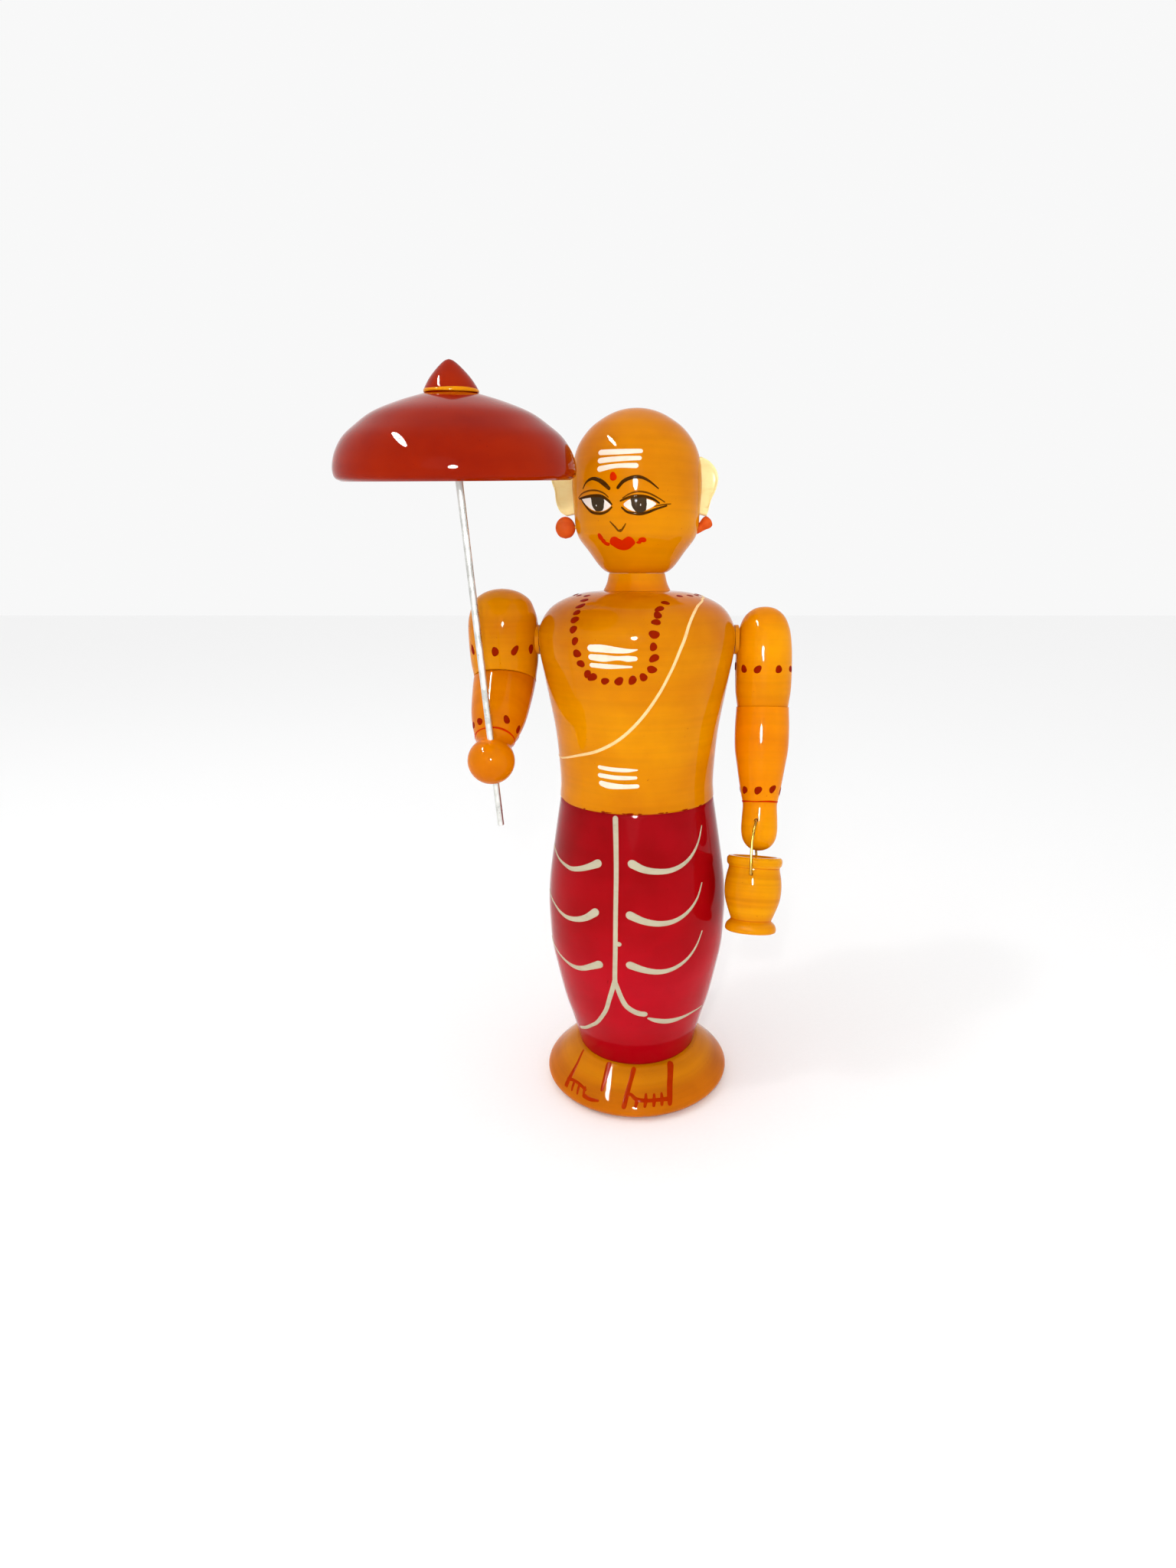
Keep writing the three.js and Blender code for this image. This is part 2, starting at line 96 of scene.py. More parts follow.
RIGHT_ELBOW = middle("right_elbow_dowel")
LEFT_ELBOW = middle("left_elbow_dowel")
RIGHT_ARM_X = -38.3
FIST = Vector((-39.7, -20.9, 108.5))
FIST_R = 6.4
RIGHT_FORE = (FIST - RIGHT_ELBOW).normalized()
LEFT_UPPER_DOWN = (LEFT_ELBOW - Vector((LEFT_ELBOW.x, 0, SHOULDER.z))).normalized()
LEFT_FORE = Vector((-0.029, -math.sin(math.radians(15)), -math.cos(math.radians(15)))).normalized()
LEFT_FORE_LENGTH = 42
LEFT_TIP = LEFT_ELBOW + LEFT_FORE * LEFT_FORE_LENGTH

ROD_AXIS = Vector(joints["umbrella_slide"]["axis"]).normalized()
ROD_TOP = Vector(joints["canopy_spin"]["pos_m"]) / MM
ROD_R = 0.9
CANOPY_RIM = Vector((-42.6, -30.7, 179.3))
CANOPY_AXIS = Vector((-0.005, -0.11, 0.994)).normalized()
CANOPY_HEIGHT = 18.7
CROWN = CANOPY_RIM + CANOPY_AXIS * CANOPY_HEIGHT

BAIL_HOLE = Vector(joints["pot_swing"]["pos_m"]) / MM
AHEAD = Vector(joints["pot_swing"]["axis"]).normalized()
SIDEWAYS = Vector((1, 0, 0))
HANG = SIDEWAYS.cross(AHEAD).normalized()
HOOKS = Vector(joints["pot_tilt"]["pos_m"]) / MM
HOOK_AXIS = Vector(joints["pot_tilt"]["axis"]).normalized()
WIRE_R = 0.35  # the bail
HAND_HOLE_R = 0.55
HOOK_HOLE_R = 0.5
POT_HEIGHT = 21.8
HOOK_DROP = 4.6  # from the rim of the pot to its hook holes
POT_ROLL = math.radians(4)


# ---------------- curves and turned surfaces
def spline(knots, steps=6):
    """A centripetal Catmull-Rom curve through the knots, with steps points from each to the next."""
    points = [np.array(knot, float) for knot in knots]
    points = [2 * points[0] - points[1], *points, 2 * points[-1] - points[-2]]
    curve = []
    for a, b, c, d in zip(points, points[1:], points[2:], points[3:]):
        spans = [max(np.linalg.norm(q - p), 1e-6) ** 0.5 for p, q in ((a, b), (b, c), (c, d))]
        ta, tb, tc, td = np.cumsum([0, *spans])
        for t in np.linspace(tb, tc, steps, endpoint=False):
            ab = a + (b - a) * (t - ta) / (tb - ta)
            bc = b + (c - b) * (t - tb) / (tc - tb)
            cd = c + (d - c) * (t - tc) / (td - tc)
            abc = ab + (bc - ab) * (t - ta) / (tc - ta)
            bcd = bc + (cd - bc) * (t - tb) / (td - tb)
            curve.append(abc + (bcd - abc) * (t - tb) / (tc - tb))
    curve.append(points[-2])
    return curve


def closed_spline(knots, steps=5):
    """The same through a loop of knots, which it comes back to the start of."""
    lap = [*knots[-2:], *knots, *knots[:2]]
    return spline(lap, steps)[2 * steps:-(steps + 1)]


def outline(knots, corners=(), steps=6):
    """A turning profile through [radius, height] knots: smooth, but sharp at the numbered corners."""
    stops = [0, *[corner for corner in corners if 0 < corner < len(knots) - 1], len(knots) - 1]
    points = []
    for start, end in zip(stops, stops[1:]):
        run = knots[start:end + 1]
        points += spline(run, steps)[:-1] if len(run) > 2 else [run[0]]
    return [(max(radius, 0.0), height) for radius, height in [*points, knots[-1]]]


class Skin:
    """The outside of a turned piece: where the point at an angle and a height is."""

    def __init__(self, profile, place=Vector(), direction=UP):
        self.profile = profile
        self.radii = [radius for radius, height in profile]
        self.heights = [height for radius, height in profile]
        turn = UP.rotation_difference(direction).to_matrix().to_4x4()
        self.matrix = Matrix.Translation(place * MM) @ turn

    def radius(self, height):
        return max(float(np.interp(height, self.heights, self.radii)), 0.5)

    def slope(self, height):
        reach = 0.2
        return (self.radius(height + reach) - self.radius(height - reach)) / (2 * reach)

    def point(self, angle, height, lift=0.0):
        """In the piece's own frame, lifted off the surface."""
        slope = self.slope(height)
        length = math.hypot(1, slope)
        radius = self.radius(height) + lift / length
        turn = math.radians(angle)
        across = Vector((math.sin(turn), -math.cos(turn), 0)) * radius
        return (across + UP * (height - lift * slope / length)) * MM


# ---------------- meshes
def turn(profile, sides=SIDES):
    """A closed turned solid from a profile of (radius, height)."""
    bm = bmesh.new()
    rings = []
    for radius, height in [(0, profile[0][1]), *profile, (0, profile[-1][1])]:
        if radius < 1e-3:
            rings.append([bm.verts.new((0, 0, height * MM))])
            continue
        angles = [2 * math.pi * k / sides for k in range(sides)]
        rings.append([bm.verts.new((radius * MM * math.sin(a), -radius * MM * math.cos(a), height * MM))
                      for a in angles])
    for below, above in zip(rings, rings[1:]):
        for k in range(sides):
            corners = [below[k % len(below)], below[(k + 1) % len(below)],
                       above[(k + 1) % len(above)], above[k % len(above)]]
            corners = list(dict.fromkeys(corners))
            if len(corners) > 2:
                bm.faces.new(corners)
    bmesh.ops.remove_doubles(bm, verts=bm.verts, dist=1e-7)
    return bm


def slice_off(bm, matrix, point, normal, rounding):
    """Cuts away what lies beyond a plane, closes the cut with a flat face and rounds its edge."""
    inverse = matrix.inverted()
    facing = (inverse.to_3x3() @ normal).normalized()
    plane = inverse @ (point * MM)
    curve = rounding * MM
    for share in (1, 0.6, 0.3, 0.1):
        everything = [*bm.verts, *bm.edges, *bm.faces]
        bmesh.ops.bisect_plane(bm, geom=everything, plane_co=plane - facing * curve * share, plane_no=facing)
    everything = [*bm.verts, *bm.edges, *bm.faces]
    cut = bmesh.ops.bisect_plane(bm, geom=everything, plane_co=plane, plane_no=facing, clear_outer=True)
    edges = [item for item in cut["geom_cut"] if isinstance(item, bmesh.types.BMEdge)]
    for vert in bm.verts:
        depth = max((plane - vert.co).dot(facing), 0)
        if depth < curve:
            inward = Vector((vert.co.x, vert.co.y, 0)).normalized()
            vert.co -= inward * (curve - math.sqrt(curve ** 2 - (curve - depth) ** 2))
    bmesh.ops.edgeloop_fill(bm, edges=edges)


def made(name, bm, matrix, sharp_from=35):
    """The bmesh as an object in its place, smooth but for its corners."""
    bmesh.ops.recalc_face_normals(bm, faces=bm.faces)
    if bm.calc_volume(signed=True) < 0:
        bmesh.ops.reverse_faces(bm, faces=bm.faces)
    mesh = bpy.data.meshes.new(name)
    bm.to_mesh(mesh)
    bm.free()
    mesh.shade_smooth()
    mesh.set_sharp_from_angle(angle=math.radians(sharp_from))
    piece = bpy.data.objects.new(name, mesh)
    scene.collection.objects.link(piece)
    piece.matrix_world = matrix
    return piece


def placed(piece, finish, body, *nodes):
    """Gives a piece its material, the body it rides on and the CAD nodes it stands for."""
    material, slot = finish
    piece.data.materials.clear()
    piece.data.materials.append(material)
    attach(piece, body)
    if nodes:
        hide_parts(*nodes)


def tube(path, radius):
    """A closed round wire along a path."""
    sides = 16
    bm = bmesh.new()
    rings = []
    side = (path[1] - path[0]).orthogonal()
    for index, place in enumerate(path):
        way = (path[min(index + 1, len(path) - 1)] - path[max(index - 1, 0)]).normalized()
        side = (side - way * side.dot(way)).normalized()
        other = way.cross(side)
        angles = [2 * math.pi * k / sides for k in range(sides)]
        rings.append([bm.verts.new((place + (side * math.cos(a) + other * math.sin(a)) * radius) * MM)
                      for a in angles])
    for one, two in zip(rings, rings[1:]):
        for k in range(sides):
            bm.faces.new((one[k], one[(k + 1) % sides], two[(k + 1) % sides], two[k]))
    bm.faces.new(rings[0])
    bm.faces.new(rings[-1])
    return bm


def rod(name, start, end, radius, sides=32, chamfer=0.15):
    """A round bar between two points, with its ends eased."""
    length = (end - start).length
    profile = [(radius - chamfer, 0), (radius, chamfer), (radius, length - chamfer),
               (radius - chamfer, length)]
    return made(name, turn(profile, sides), Skin(profile, start, (end - start).normalized()).matrix)


def drill(piece, start, end, radius, sides=32):
    """A round hole through a piece, with its wall left in the mesh."""
    bit = rod("bit", start, end, radius, sides, 0.01)
    cut = piece.modifiers.new("hole", "BOOLEAN")
    cut.object = bit
    cut.operation = "DIFFERENCE"
    cut.solver = "EXACT"
    bpy.context.view_layer.update()
    evaluated = piece.evaluated_get(bpy.context.evaluated_depsgraph_get())
    mesh = bpy.data.meshes.new_from_object(evaluated)
    piece.modifiers.clear()
    piece.data = mesh
    mesh.set_sharp_from_angle(angle=math.radians(35))
    bpy.data.objects.remove(bit)


# ---------------- paint marks
ACROSS = (-1, -0.85, -0.5, 0, 0.5, 0.85, 1)
SHARES = (1, 0.94, 0.8, 0.55, 0.28)


def past_end(skin, tip, inner):
    """Points past a stroke's end, along a half circle as wide as the stroke."""
    radius = skin.radius(tip[1])
    stretch = math.hypot(1, skin.slope(tip[1]))
    way = Vector((math.radians(tip[0] - inner[0]) * radius, (tip[1] - inner[1]) * stretch))
    way.normalize()
    points = []
    for step in (6, 20, 40, 65):
        turn_on = math.radians(step)
        reach = tip[2] / 2 * math.cos(turn_on)
        angle = tip[0] + math.degrees(way.x * reach / radius)
        points.append((angle, tip[1] + way.y * reach / stretch, tip[2] * math.sin(turn_on)))
    return points


def sweep_paint(bm, skin, line, lift, base, loop=False):
    """A low rounded ridge of paint along a line of (angle, height, width)."""
    rows = []
    for index, (angle, height, width) in enumerate(line):
        before = line[max(index - 1, 0)]
        after = line[min(index + 1, len(line) - 1)]
        radius = skin.radius(height)
        stretch = math.hypot(1, skin.slope(height))
        way = Vector((math.radians(after[0] - before[0]) * radius, (after[1] - before[1]) * stretch))
        way.normalize()
        full = lift * min(1, width / 0.6)
        row = []
        for across in ACROSS:
            offset = across * width / 2
            edge = across ** 4
            place = (angle - math.degrees(way.y * offset / radius), height + way.x * offset / stretch)
            row.append(bm.verts.new(skin.point(*place, base + full * (1 - edge) - SINK * edge)))
        rows.append(row)
    count = len(ACROSS)
    pairs = list(zip(rows, rows[1:]))
    if loop:
        pairs.append((rows[-1], rows[0]))
    for one, two in pairs:
        for k in range(count):
            bm.faces.new((one[k], one[(k + 1) % count], two[(k + 1) % count], two[k]))
    if not loop:
        bm.faces.new(rows[0])
        bm.faces.new(rows[-1])


def stroke(bm, skin, knots, base=0.0):
    """A raised brush stroke along knots of (angle, height, width), with round ends."""
    line = [tuple(point) for point in spline(knots)]
    start = past_end(skin, line[0], line[1])
    end = past_end(skin, line[-1], line[-2])
    sweep_paint(bm, skin, [*start, *line, *reversed(end)], LIFT, base)


def ring(bm, skin, height, width, lift=LIFT, wobble=0.0):
    """A painted line all the way round, with a slow hand wobble."""
    count = 90
    line = []
    for k in range(count):
        angle = 360 * k / count
        turns = (2 * angle + 40, 5 * angle, 3 * angle)
        slow, quick, swell = (math.sin(math.radians(value)) for value in turns)
        waver = wobble * slow + wobble / 2 * quick
        line.append((angle, height + waver, width * (1 + 0.2 * swell)))
    sweep_paint(bm, skin, line, lift, 0.0, loop=True)


def patch(bm, skin, edge, base=0.0):
    """A raised patch of paint inside a loop of (angle, height) points."""
    edge = [np.array(point, float) for point in edge]
    centre = sum(edge) / len(edge)
    loops = []
    for share in SHARES:
        rise = base + LIFT * (1 - share ** 8) - SINK * share ** 8
        loops.append([bm.verts.new(skin.point(*(centre + (point - centre) * share), rise))
                      for point in edge])
    top = bm.verts.new(skin.point(*centre, base + LIFT))
    under = bm.verts.new(skin.point(*centre, base - 2 * SINK))
    count = len(edge)
    for k in range(count):
        n = (k + 1) % count
        for outer, inner in zip(loops, loops[1:]):
            bm.faces.new((outer[k], outer[n], inner[n], inner[k]))
        bm.faces.new((loops[-1][k], loops[-1][n], top))
        bm.faces.new((loops[0][n], loops[0][k], under))


def dot(bm, skin, angle, height, wide, tall, lean=0.0, base=0.0):
    """A dab of paint: an ellipse with a slightly uneven, hand-made edge."""
    radius = skin.radius(height)
    stretch = math.hypot(1, skin.slope(height))
    tilt = math.radians(lean)
    seed = angle * 0.7 + height * 1.3
    edge = []
    for k in range(20):
        a = 2 * math.pi * k / 20
        uneven = 1 + 0.10 * math.sin(2 * a + seed) + 0.06 * math.sin(3 * a + 2 * seed)
        x = wide / 2 * math.cos(a) * uneven
        y = tall / 2 * math.sin(a) * uneven
        x, y = x * math.cos(tilt) - y * math.sin(tilt), x * math.sin(tilt) + y * math.cos(tilt)
        edge.append((angle + math.degrees(x / radius), height + y / stretch))
    patch(bm, skin, edge, base)


def painted(name, skin, body, finish, strokes=(), dots=(), patches=(), rings=(), base=0.0):
    """One object for all the marks of one paint on one piece."""
    bm = bmesh.new()
    for knots in strokes:
        stroke(bm, skin, knots, base=base)
    for mark in dots:
        dot(bm, skin, *mark, base=base)
    for edge in patches:
        patch(bm, skin, closed_spline(edge), base=base)
    for height, width in rings:
        ring(bm, skin, height, width, wobble=0.06)
    placed(made(name, bm, skin.matrix), finish, body)


# ---------------- materials
def colour(red, green, blue):
    """An sRGB colour, 0 to 255, as the linear colour that a shader takes."""
    def linear(value):
        value /= 255
        return value / 12.92 if value <= 0.04045 else ((value + 0.055) / 1.055) ** 2.4
    return (linear(red), linear(green), linear(blue), 1)


class Shader:
    """A material, and short ways to add nodes to it. Textures run in each piece's own frame."""

    def __init__(self, name, **sockets):
        self.material = bpy.data.materials.new(name)
        self.material.use_nodes = True
        self.tree = self.material.node_tree
        self.surface = self.tree.nodes["Principled BSDF"]
        for socket, value in sockets.items():
            self.surface.inputs[socket.replace("_", " ")].default_value = value
        self.coords = self.node("ShaderNodeTexCoord").outputs["Object"]

    def node(self, kind, inputs=None, **settings):
        node = self.tree.nodes.new(kind)
        for key, value in settings.items():
            setattr(node, key, value)
        for key, value in (inputs or {}).items():
            if isinstance(value, bpy.types.NodeSocket):
                self.tree.links.new(value, node.inputs[key])
            else:
                node.inputs[key].default_value = value
        return node

    def noise(self, stretch, detail=3.0, rough=0.5, shift=0.0, distortion=0.0):
        """Noise with a number of cells per metre along each axis."""
        stretch = stretch if isinstance(stretch, tuple) else (stretch,) * 3
        mapping = self.node("ShaderNodeMapping", {
            "Vector": self.coords, "Scale": stretch, "Location": (shift, shift * 0.7, shift * 1.3)})
        return self.node("ShaderNodeTexNoise", {
            "Vector": mapping.outputs["Vector"], "Scale": 1.0, "Detail": detail, "Roughness": rough,
            "Distortion": distortion}).outputs["Fac"]

    def ramp(self, factor, *stops):
        node = self.node("ShaderNodeValToRGB", {"Fac": factor})
        elements = node.color_ramp.elements
        while len(elements) < len(stops):
            elements.new(0.5)
        for element, (position, value) in zip(elements, stops):
            element.position = position
            element.color = value
        return node.outputs["Color"]

    def mix(self, factor, one, two, kind="MIX"):
        inputs = {0: factor, 6: one, 7: two}
        return self.node("ShaderNodeMix", inputs, data_type="RGBA", blend_type=kind).outputs[2]

    def spread(self, factor, low_value, high_value, start=0.3, end=0.7):
        return self.node("ShaderNodeMapRange", {
            "Value": factor, "From Min": start, "From Max": end, "To Min": low_value,
            "To Max": high_value}).outputs["Result"]

    def paint(self, socket, value):
        self.tree.links.new(value, self.surface.inputs[socket])

    def bumps(self, *layers):
        """Bump layers of (height, strength, distance in millimetres)."""
        normal = None
        for height, strength, distance in layers:
            inputs = {"Height": height, "Strength": strength, "Distance": distance * MM}
            if normal is not None:
                inputs["Normal"] = normal
            normal = self.node("ShaderNodeBump", inputs).outputs["Normal"]
        self.paint("Normal", normal)


GREY_LOW = (0.72, 0.72, 0.72, 1)
WHITE = (1, 1, 1, 1)
TONE_AND_PAINTED_LIGHT_SHARE = 0.65  # how far a lacquer's colour by height, its own tone together with painted light and shade, covers its bands


def lacquer(name, deep, middling, bright, band=110, shift=0, fine=0.25, tone_and_painted_light=None, slot="yellow_lacquer"):
    """Stick lac melted on at the lathe: soft turned bands, fine rings, clouds and a wet gloss.
    Stops of (height in metres, colour), if given, are a colour by height mixed over the bands: partly the
    lac's own tone and partly painted light and shade, such as a lighter underside of the head and neck and a
    painted sheen band on the base."""
    deep, middling, bright = colour(*deep), colour(*middling), colour(*bright)
    s = Shader(name, Coat_Weight=1.0, Coat_Roughness=0.03, Coat_IOR=1.15, Specular_IOR_Level=0.0)
    bands = s.noise((7, 7, band), rough=0.55, shift=shift, distortion=0.3)
    rings = s.noise((25, 25, band * 7), detail=2.0, shift=shift + 3)
    clouds = s.noise(70.0, shift=shift + 7)
    specks = s.noise(1500.0, detail=1.0, shift=shift + 11)
    base = s.ramp(bands, (0.28, deep), (0.50, middling), (0.74, bright))
    # the colour by height: the lac's own tone with painted light and shade in it
    if tone_and_painted_light:
        height = s.node("ShaderNodeSeparateXYZ", {"Vector": s.coords}).outputs["Z"]
        top = tone_and_painted_light[-1][0]
        stops = [(place / top, colour(*tint)) for place, tint in tone_and_painted_light]
        base = s.mix(TONE_AND_PAINTED_LIGHT_SHARE, base, s.ramp(s.spread(height, 0.0, 1.0, 0.0, top), *stops))
    ringed = s.mix(fine, base, s.ramp(rings, (0.35, GREY_LOW), (0.6, WHITE)), "MULTIPLY")
    clouded = s.mix(0.3, ringed, s.ramp(clouds, (0.3, deep), (0.65, bright)))
    speckled = s.mix(s.ramp(specks, (0.76, (0, 0, 0, 1)), (0.80, WHITE)), clouded, deep)
    s.paint("Base Color", speckled)
    s.paint("Roughness", s.spread(clouds, 0.22, 0.42))
    s.bumps((bands, 0.18, 0.25), (rings, 0.05, 0.04), (clouds, 0.12, 0.35))
    return s.material, slot


def enamel(name, slot, shade, thin, rough=0.4):
    """Brush paint: thinner, darker streaks where the hairs parted, and small ridges."""
    shade, thin = colour(*shade), colour(*thin)
    s = Shader(name, Coat_Weight=0.3, Coat_Roughness=0.05, Coat_IOR=1.13, Specular_IOR_Level=0.0)
    hairs = s.noise((300, 300, 900), rough=0.6)
    blotches = s.noise(350.0, detail=2.0, shift=5)
    s.paint("Base Color", s.mix(s.spread(hairs, 0.0, 0.8, 0.35, 0.8), shade, s.ramp(
        blotches, (0.35, shade), (0.7, thin))))
    s.paint("Roughness", s.spread(blotches, rough - 0.1, rough + 0.12))
    s.bumps((hairs, 0.3, 0.04), (blotches, 0.3, 0.08))
    return s.material, slot


def bare_wood():
    s = Shader("bare_wood", IOR=1.4)
    grain = s.noise((500, 500, 60), detail=4.0, rough=0.6)
    s.paint("Base Color", s.ramp(grain, (0.3, colour(150, 110, 66)), (0.7, colour(214, 178, 124))))
    s.paint("Roughness", s.spread(grain, 0.6, 0.85))
    s.bumps((grain, 0.4, 0.08))
    return s.material, "bare_wood"


def bright_wire(name, slot, dark, light, drawn):
    """Drawn metal: fine lines along the wire, dull patches and small nicks."""
    s = Shader(name, Metallic=1.0)
    lines = s.noise(drawn, detail=2.0)
    tarnish = s.noise(260.0, rough=0.6, shift=4)
    metal = s.ramp(tarnish, (0.3, dark), (0.6, light))
    s.paint("Base Color", s.mix(s.spread(lines, 0.0, 0.35), metal, dark))
    s.paint("Roughness", s.spread(tarnish, 0.20, 0.42))
    s.bumps((lines, 0.2, 0.02), (tarnish, 0.15, 0.04))
    return s.material, slot


# Colours by height for the lacquers, mixed over their bands: partly each lac's own tone, partly painted
# light and shade. They give a lighter neck, chin and cheeks, darker shoulder tops and crown, a lighter hand,
# a lighter pinkish band on the dhoti and a painted sheen band on the base.
TORSO_TONE_AND_PAINTED_LIGHT = ((0, (201, 117, 0)), (0.094, (205, 121, 0)), (0.104, (216, 132, 0)), (0.117, (230, 150, 0)),
               (0.127, (208, 124, 0)), (0.14, (196, 111, 0)), (0.148, (184, 94, 0)), (0.152, (196, 98, 0)),
               (0.1545, (232, 132, 0)), (0.1575, (244, 160, 0)))
HEAD_TONE_AND_PAINTED_LIGHT = ((0, (222, 140, 0)), (0.006, (230, 148, 0)), (0.013, (240, 156, 0)), (0.02, (212, 126, 0)),
              (0.03, (206, 120, 0)), (0.043, (196, 112, 0)))
HAND_TONE_AND_PAINTED_LIGHT = ((0, (240, 158, 0)), (0.008, (248, 172, 0)), (0.0135, (238, 148, 0)), (0.02, (236, 138, 0)),
              (0.042, (226, 124, 0)))
BASE_TONE_AND_PAINTED_LIGHT = ((0, (200, 106, 0)), (0.004, (202, 102, 0)), (0.007, (180, 92, 0)), (0.0095, (206, 130, 0)),
              (0.0129, (198, 120, 0)))
RED_TONE_AND_PAINTED_LIGHT = ((0, (132, 0, 2)), (0.012, (140, 0, 4)), (0.018, (172, 0, 14)), (0.028, (192, 12, 32)),
             (0.042, (192, 16, 36)), (0.06, (166, 0, 8)), (0.08, (130, 0, 2)), (0.094, (124, 0, 4)))
YELLOW = lacquer("yellow_lacquer", (190, 100, 0), (210, 124, 0), (230, 148, 0), tone_and_painted_light=TORSO_TONE_AND_PAINTED_LIGHT)
YELLOW_HEAD = lacquer("head_lacquer", (190, 100, 0), (208, 122, 0), (224, 140, 0), 90, 21, tone_and_painted_light=HEAD_TONE_AND_PAINTED_LIGHT)
YELLOW_ARM = lacquer("arm_lacquer", (194, 104, 0), (214, 130, 0), (230, 150, 0), 100, 40)
BRIGHT_ARM = lacquer("left_arm_lacquer", (208, 116, 0), (230, 142, 0), (240, 156, 0), 100, 45)
ORANGE_ARM = lacquer("forearm_lacquer", (196, 96, 0), (212, 116, 0), (226, 134, 0), 80, 53)
BRIGHT_FORE = lacquer("left_forearm_lacquer", (216, 112, 0), (230, 132, 0), (242, 146, 0), 80, 58,
                      tone_and_painted_light=HAND_TONE_AND_PAINTED_LIGHT)
BASE_YELLOW = lacquer("base_lacquer", (160, 84, 0), (184, 98, 0), (206, 116, 0), 160, 91, 0.35,
                      tone_and_painted_light=BASE_TONE_AND_PAINTED_LIGHT)
POT_YELLOW = lacquer("pot_lacquer", (198, 106, 0), (226, 142, 0), (240, 166, 2), 220, 64)
RED = lacquer("red_lacquer", (130, 0, 4), (158, 0, 8), (186, 8, 26), 45, 77, 0.15, RED_TONE_AND_PAINTED_LIGHT, "red_lacquer")
BROWN = lacquer("brown_lacquer", (126, 14, 0), (146, 28, 0), (164, 40, 0), 60, 85, 0.15,
                slot="brown_lacquer")
EAR_CREAM = enamel("ear_cream", "cream_paint", (252, 236, 170), (238, 208, 126), 0.45)
EARRING_ORANGE = enamel("earring_orange", "orange_paint", (222, 94, 34), (198, 60, 20), 0.35)
OFF_WHITE = enamel("off_white_paint", "white_paint", (190, 182, 156), (168, 156, 128))
CHALK_WHITE = enamel("chalk_white_paint", "white_paint", (244, 228, 208), (240, 206, 170))
THREAD_CREAM = enamel("thread_cream_paint", "white_paint", (244, 210, 150), (240, 184, 112))
EYE_WHITE = enamel("eye_white_paint", "white_paint", (240, 232, 222), (230, 214, 196))
DOT_RED = enamel("dot_red_paint", "red_paint", (144, 28, 0), (116, 16, 0))
LINE_RED = enamel("line_red_paint", "red_paint", (200, 40, 0), (170, 40, 0))
FOOT_RED = enamel("foot_red_paint", "red_paint", (164, 38, 0), (182, 64, 0))
LIP_RED = enamel("lip_red_paint", "red_paint", (206, 36, 0), (176, 44, 0))
BLACK = enamel("black_paint", "black_paint", (62, 34, 4), (110, 62, 4))
CREASE = enamel("crease_paint", "black_paint", (104, 58, 4), (140, 80, 4))
IRIS = enamel("iris_paint", "black_paint", (62, 50, 36), (84, 66, 40))
WOOD = bare_wood()
STEEL = bright_wire("steel_rod", "steel", (0.52, 0.52, 0.49, 1), (0.74, 0.74, 0.71, 1), (1600, 1600, 30))
BRASS = bright_wire("brass_wire", "brass", colour(126, 92, 32), colour(214, 172, 78), (1200, 1200, 1200))


# ---------------- body
BASE_PROFILE = outline([[24.4, 0], [27.2, 0.7], [28.7, 2.2], [28.9, 3.2], [28.3, 4.4], [25.1, 7.6],
                        [22, 10.4], [19.7, BASE_TOP - 0.3], [19.2, BASE_TOP]], corners=[7])
DHOTI_PROFILE = outline([[18.2, BASE_TOP + 0.02], [18.7, 13.3], [19.6, 17.5], [21.2, 23.4], [22.9, 29],
                         [25.2, 39.4], [26.6, 47], [27.1, 55], [27.2, 61.5], [26.7, 68.8], [25.3, 78.5],
                         [23.8, 88], [22.95, WAIST - 0.4], [22.7, WAIST]], corners=[1, 12])
TORSO_PROFILE = outline([[22.75, WAIST + 0.02], [23.05, WAIST + 0.5], [22.8, 98], [23.1, 105], [24, 114.4],
                         [25.6, 123.5], [26.9, 130.5], [27.9, 136.5], [28.1, 142], [27, 145.2],
                         [25.6, 147.4], [23.5, 149.4], [19.4, 151.5], [14.5, 152.8], [9.5, 153.3],
                         [8.6, 155.2], [7.9, CHIN - 0.03]], corners=[1, 14])
base_skin = Skin(BASE_PROFILE)
dhoti_skin = Skin(DHOTI_PROFILE)
torso_skin = Skin(TORSO_PROFILE)


def pin(node, reach, radius, body):
    """A CAD dowel or peg, turned finely, in the same place. It reaches this far from its middle."""
    centre = middle(node)
    placed(rod(node + "_turned", centre - reach, centre + reach, radius), WOOD, body, node)


def bored(profile, bottom=None, top=None):
    """A turned profile with a blind dowel hole in its bottom or top end, down or up to a height."""
    bore = DOWEL_R + PLAY
    points = [*profile]
    if bottom is not None:
        points = [(0, bottom), (bore, bottom), (bore, profile[0][1]), *points]
    if top is not None:
        points = [*points, (bore, profile[-1][1]), (bore, top), (0, top)]
    return points


def through(node):
    """The two ends of a hole that a shoulder peg goes through, a little longer than the peg."""
    centre = middle(node)
    reach = SIDEWAYS * half(node).x * 1.01
    return centre - reach, centre + reach


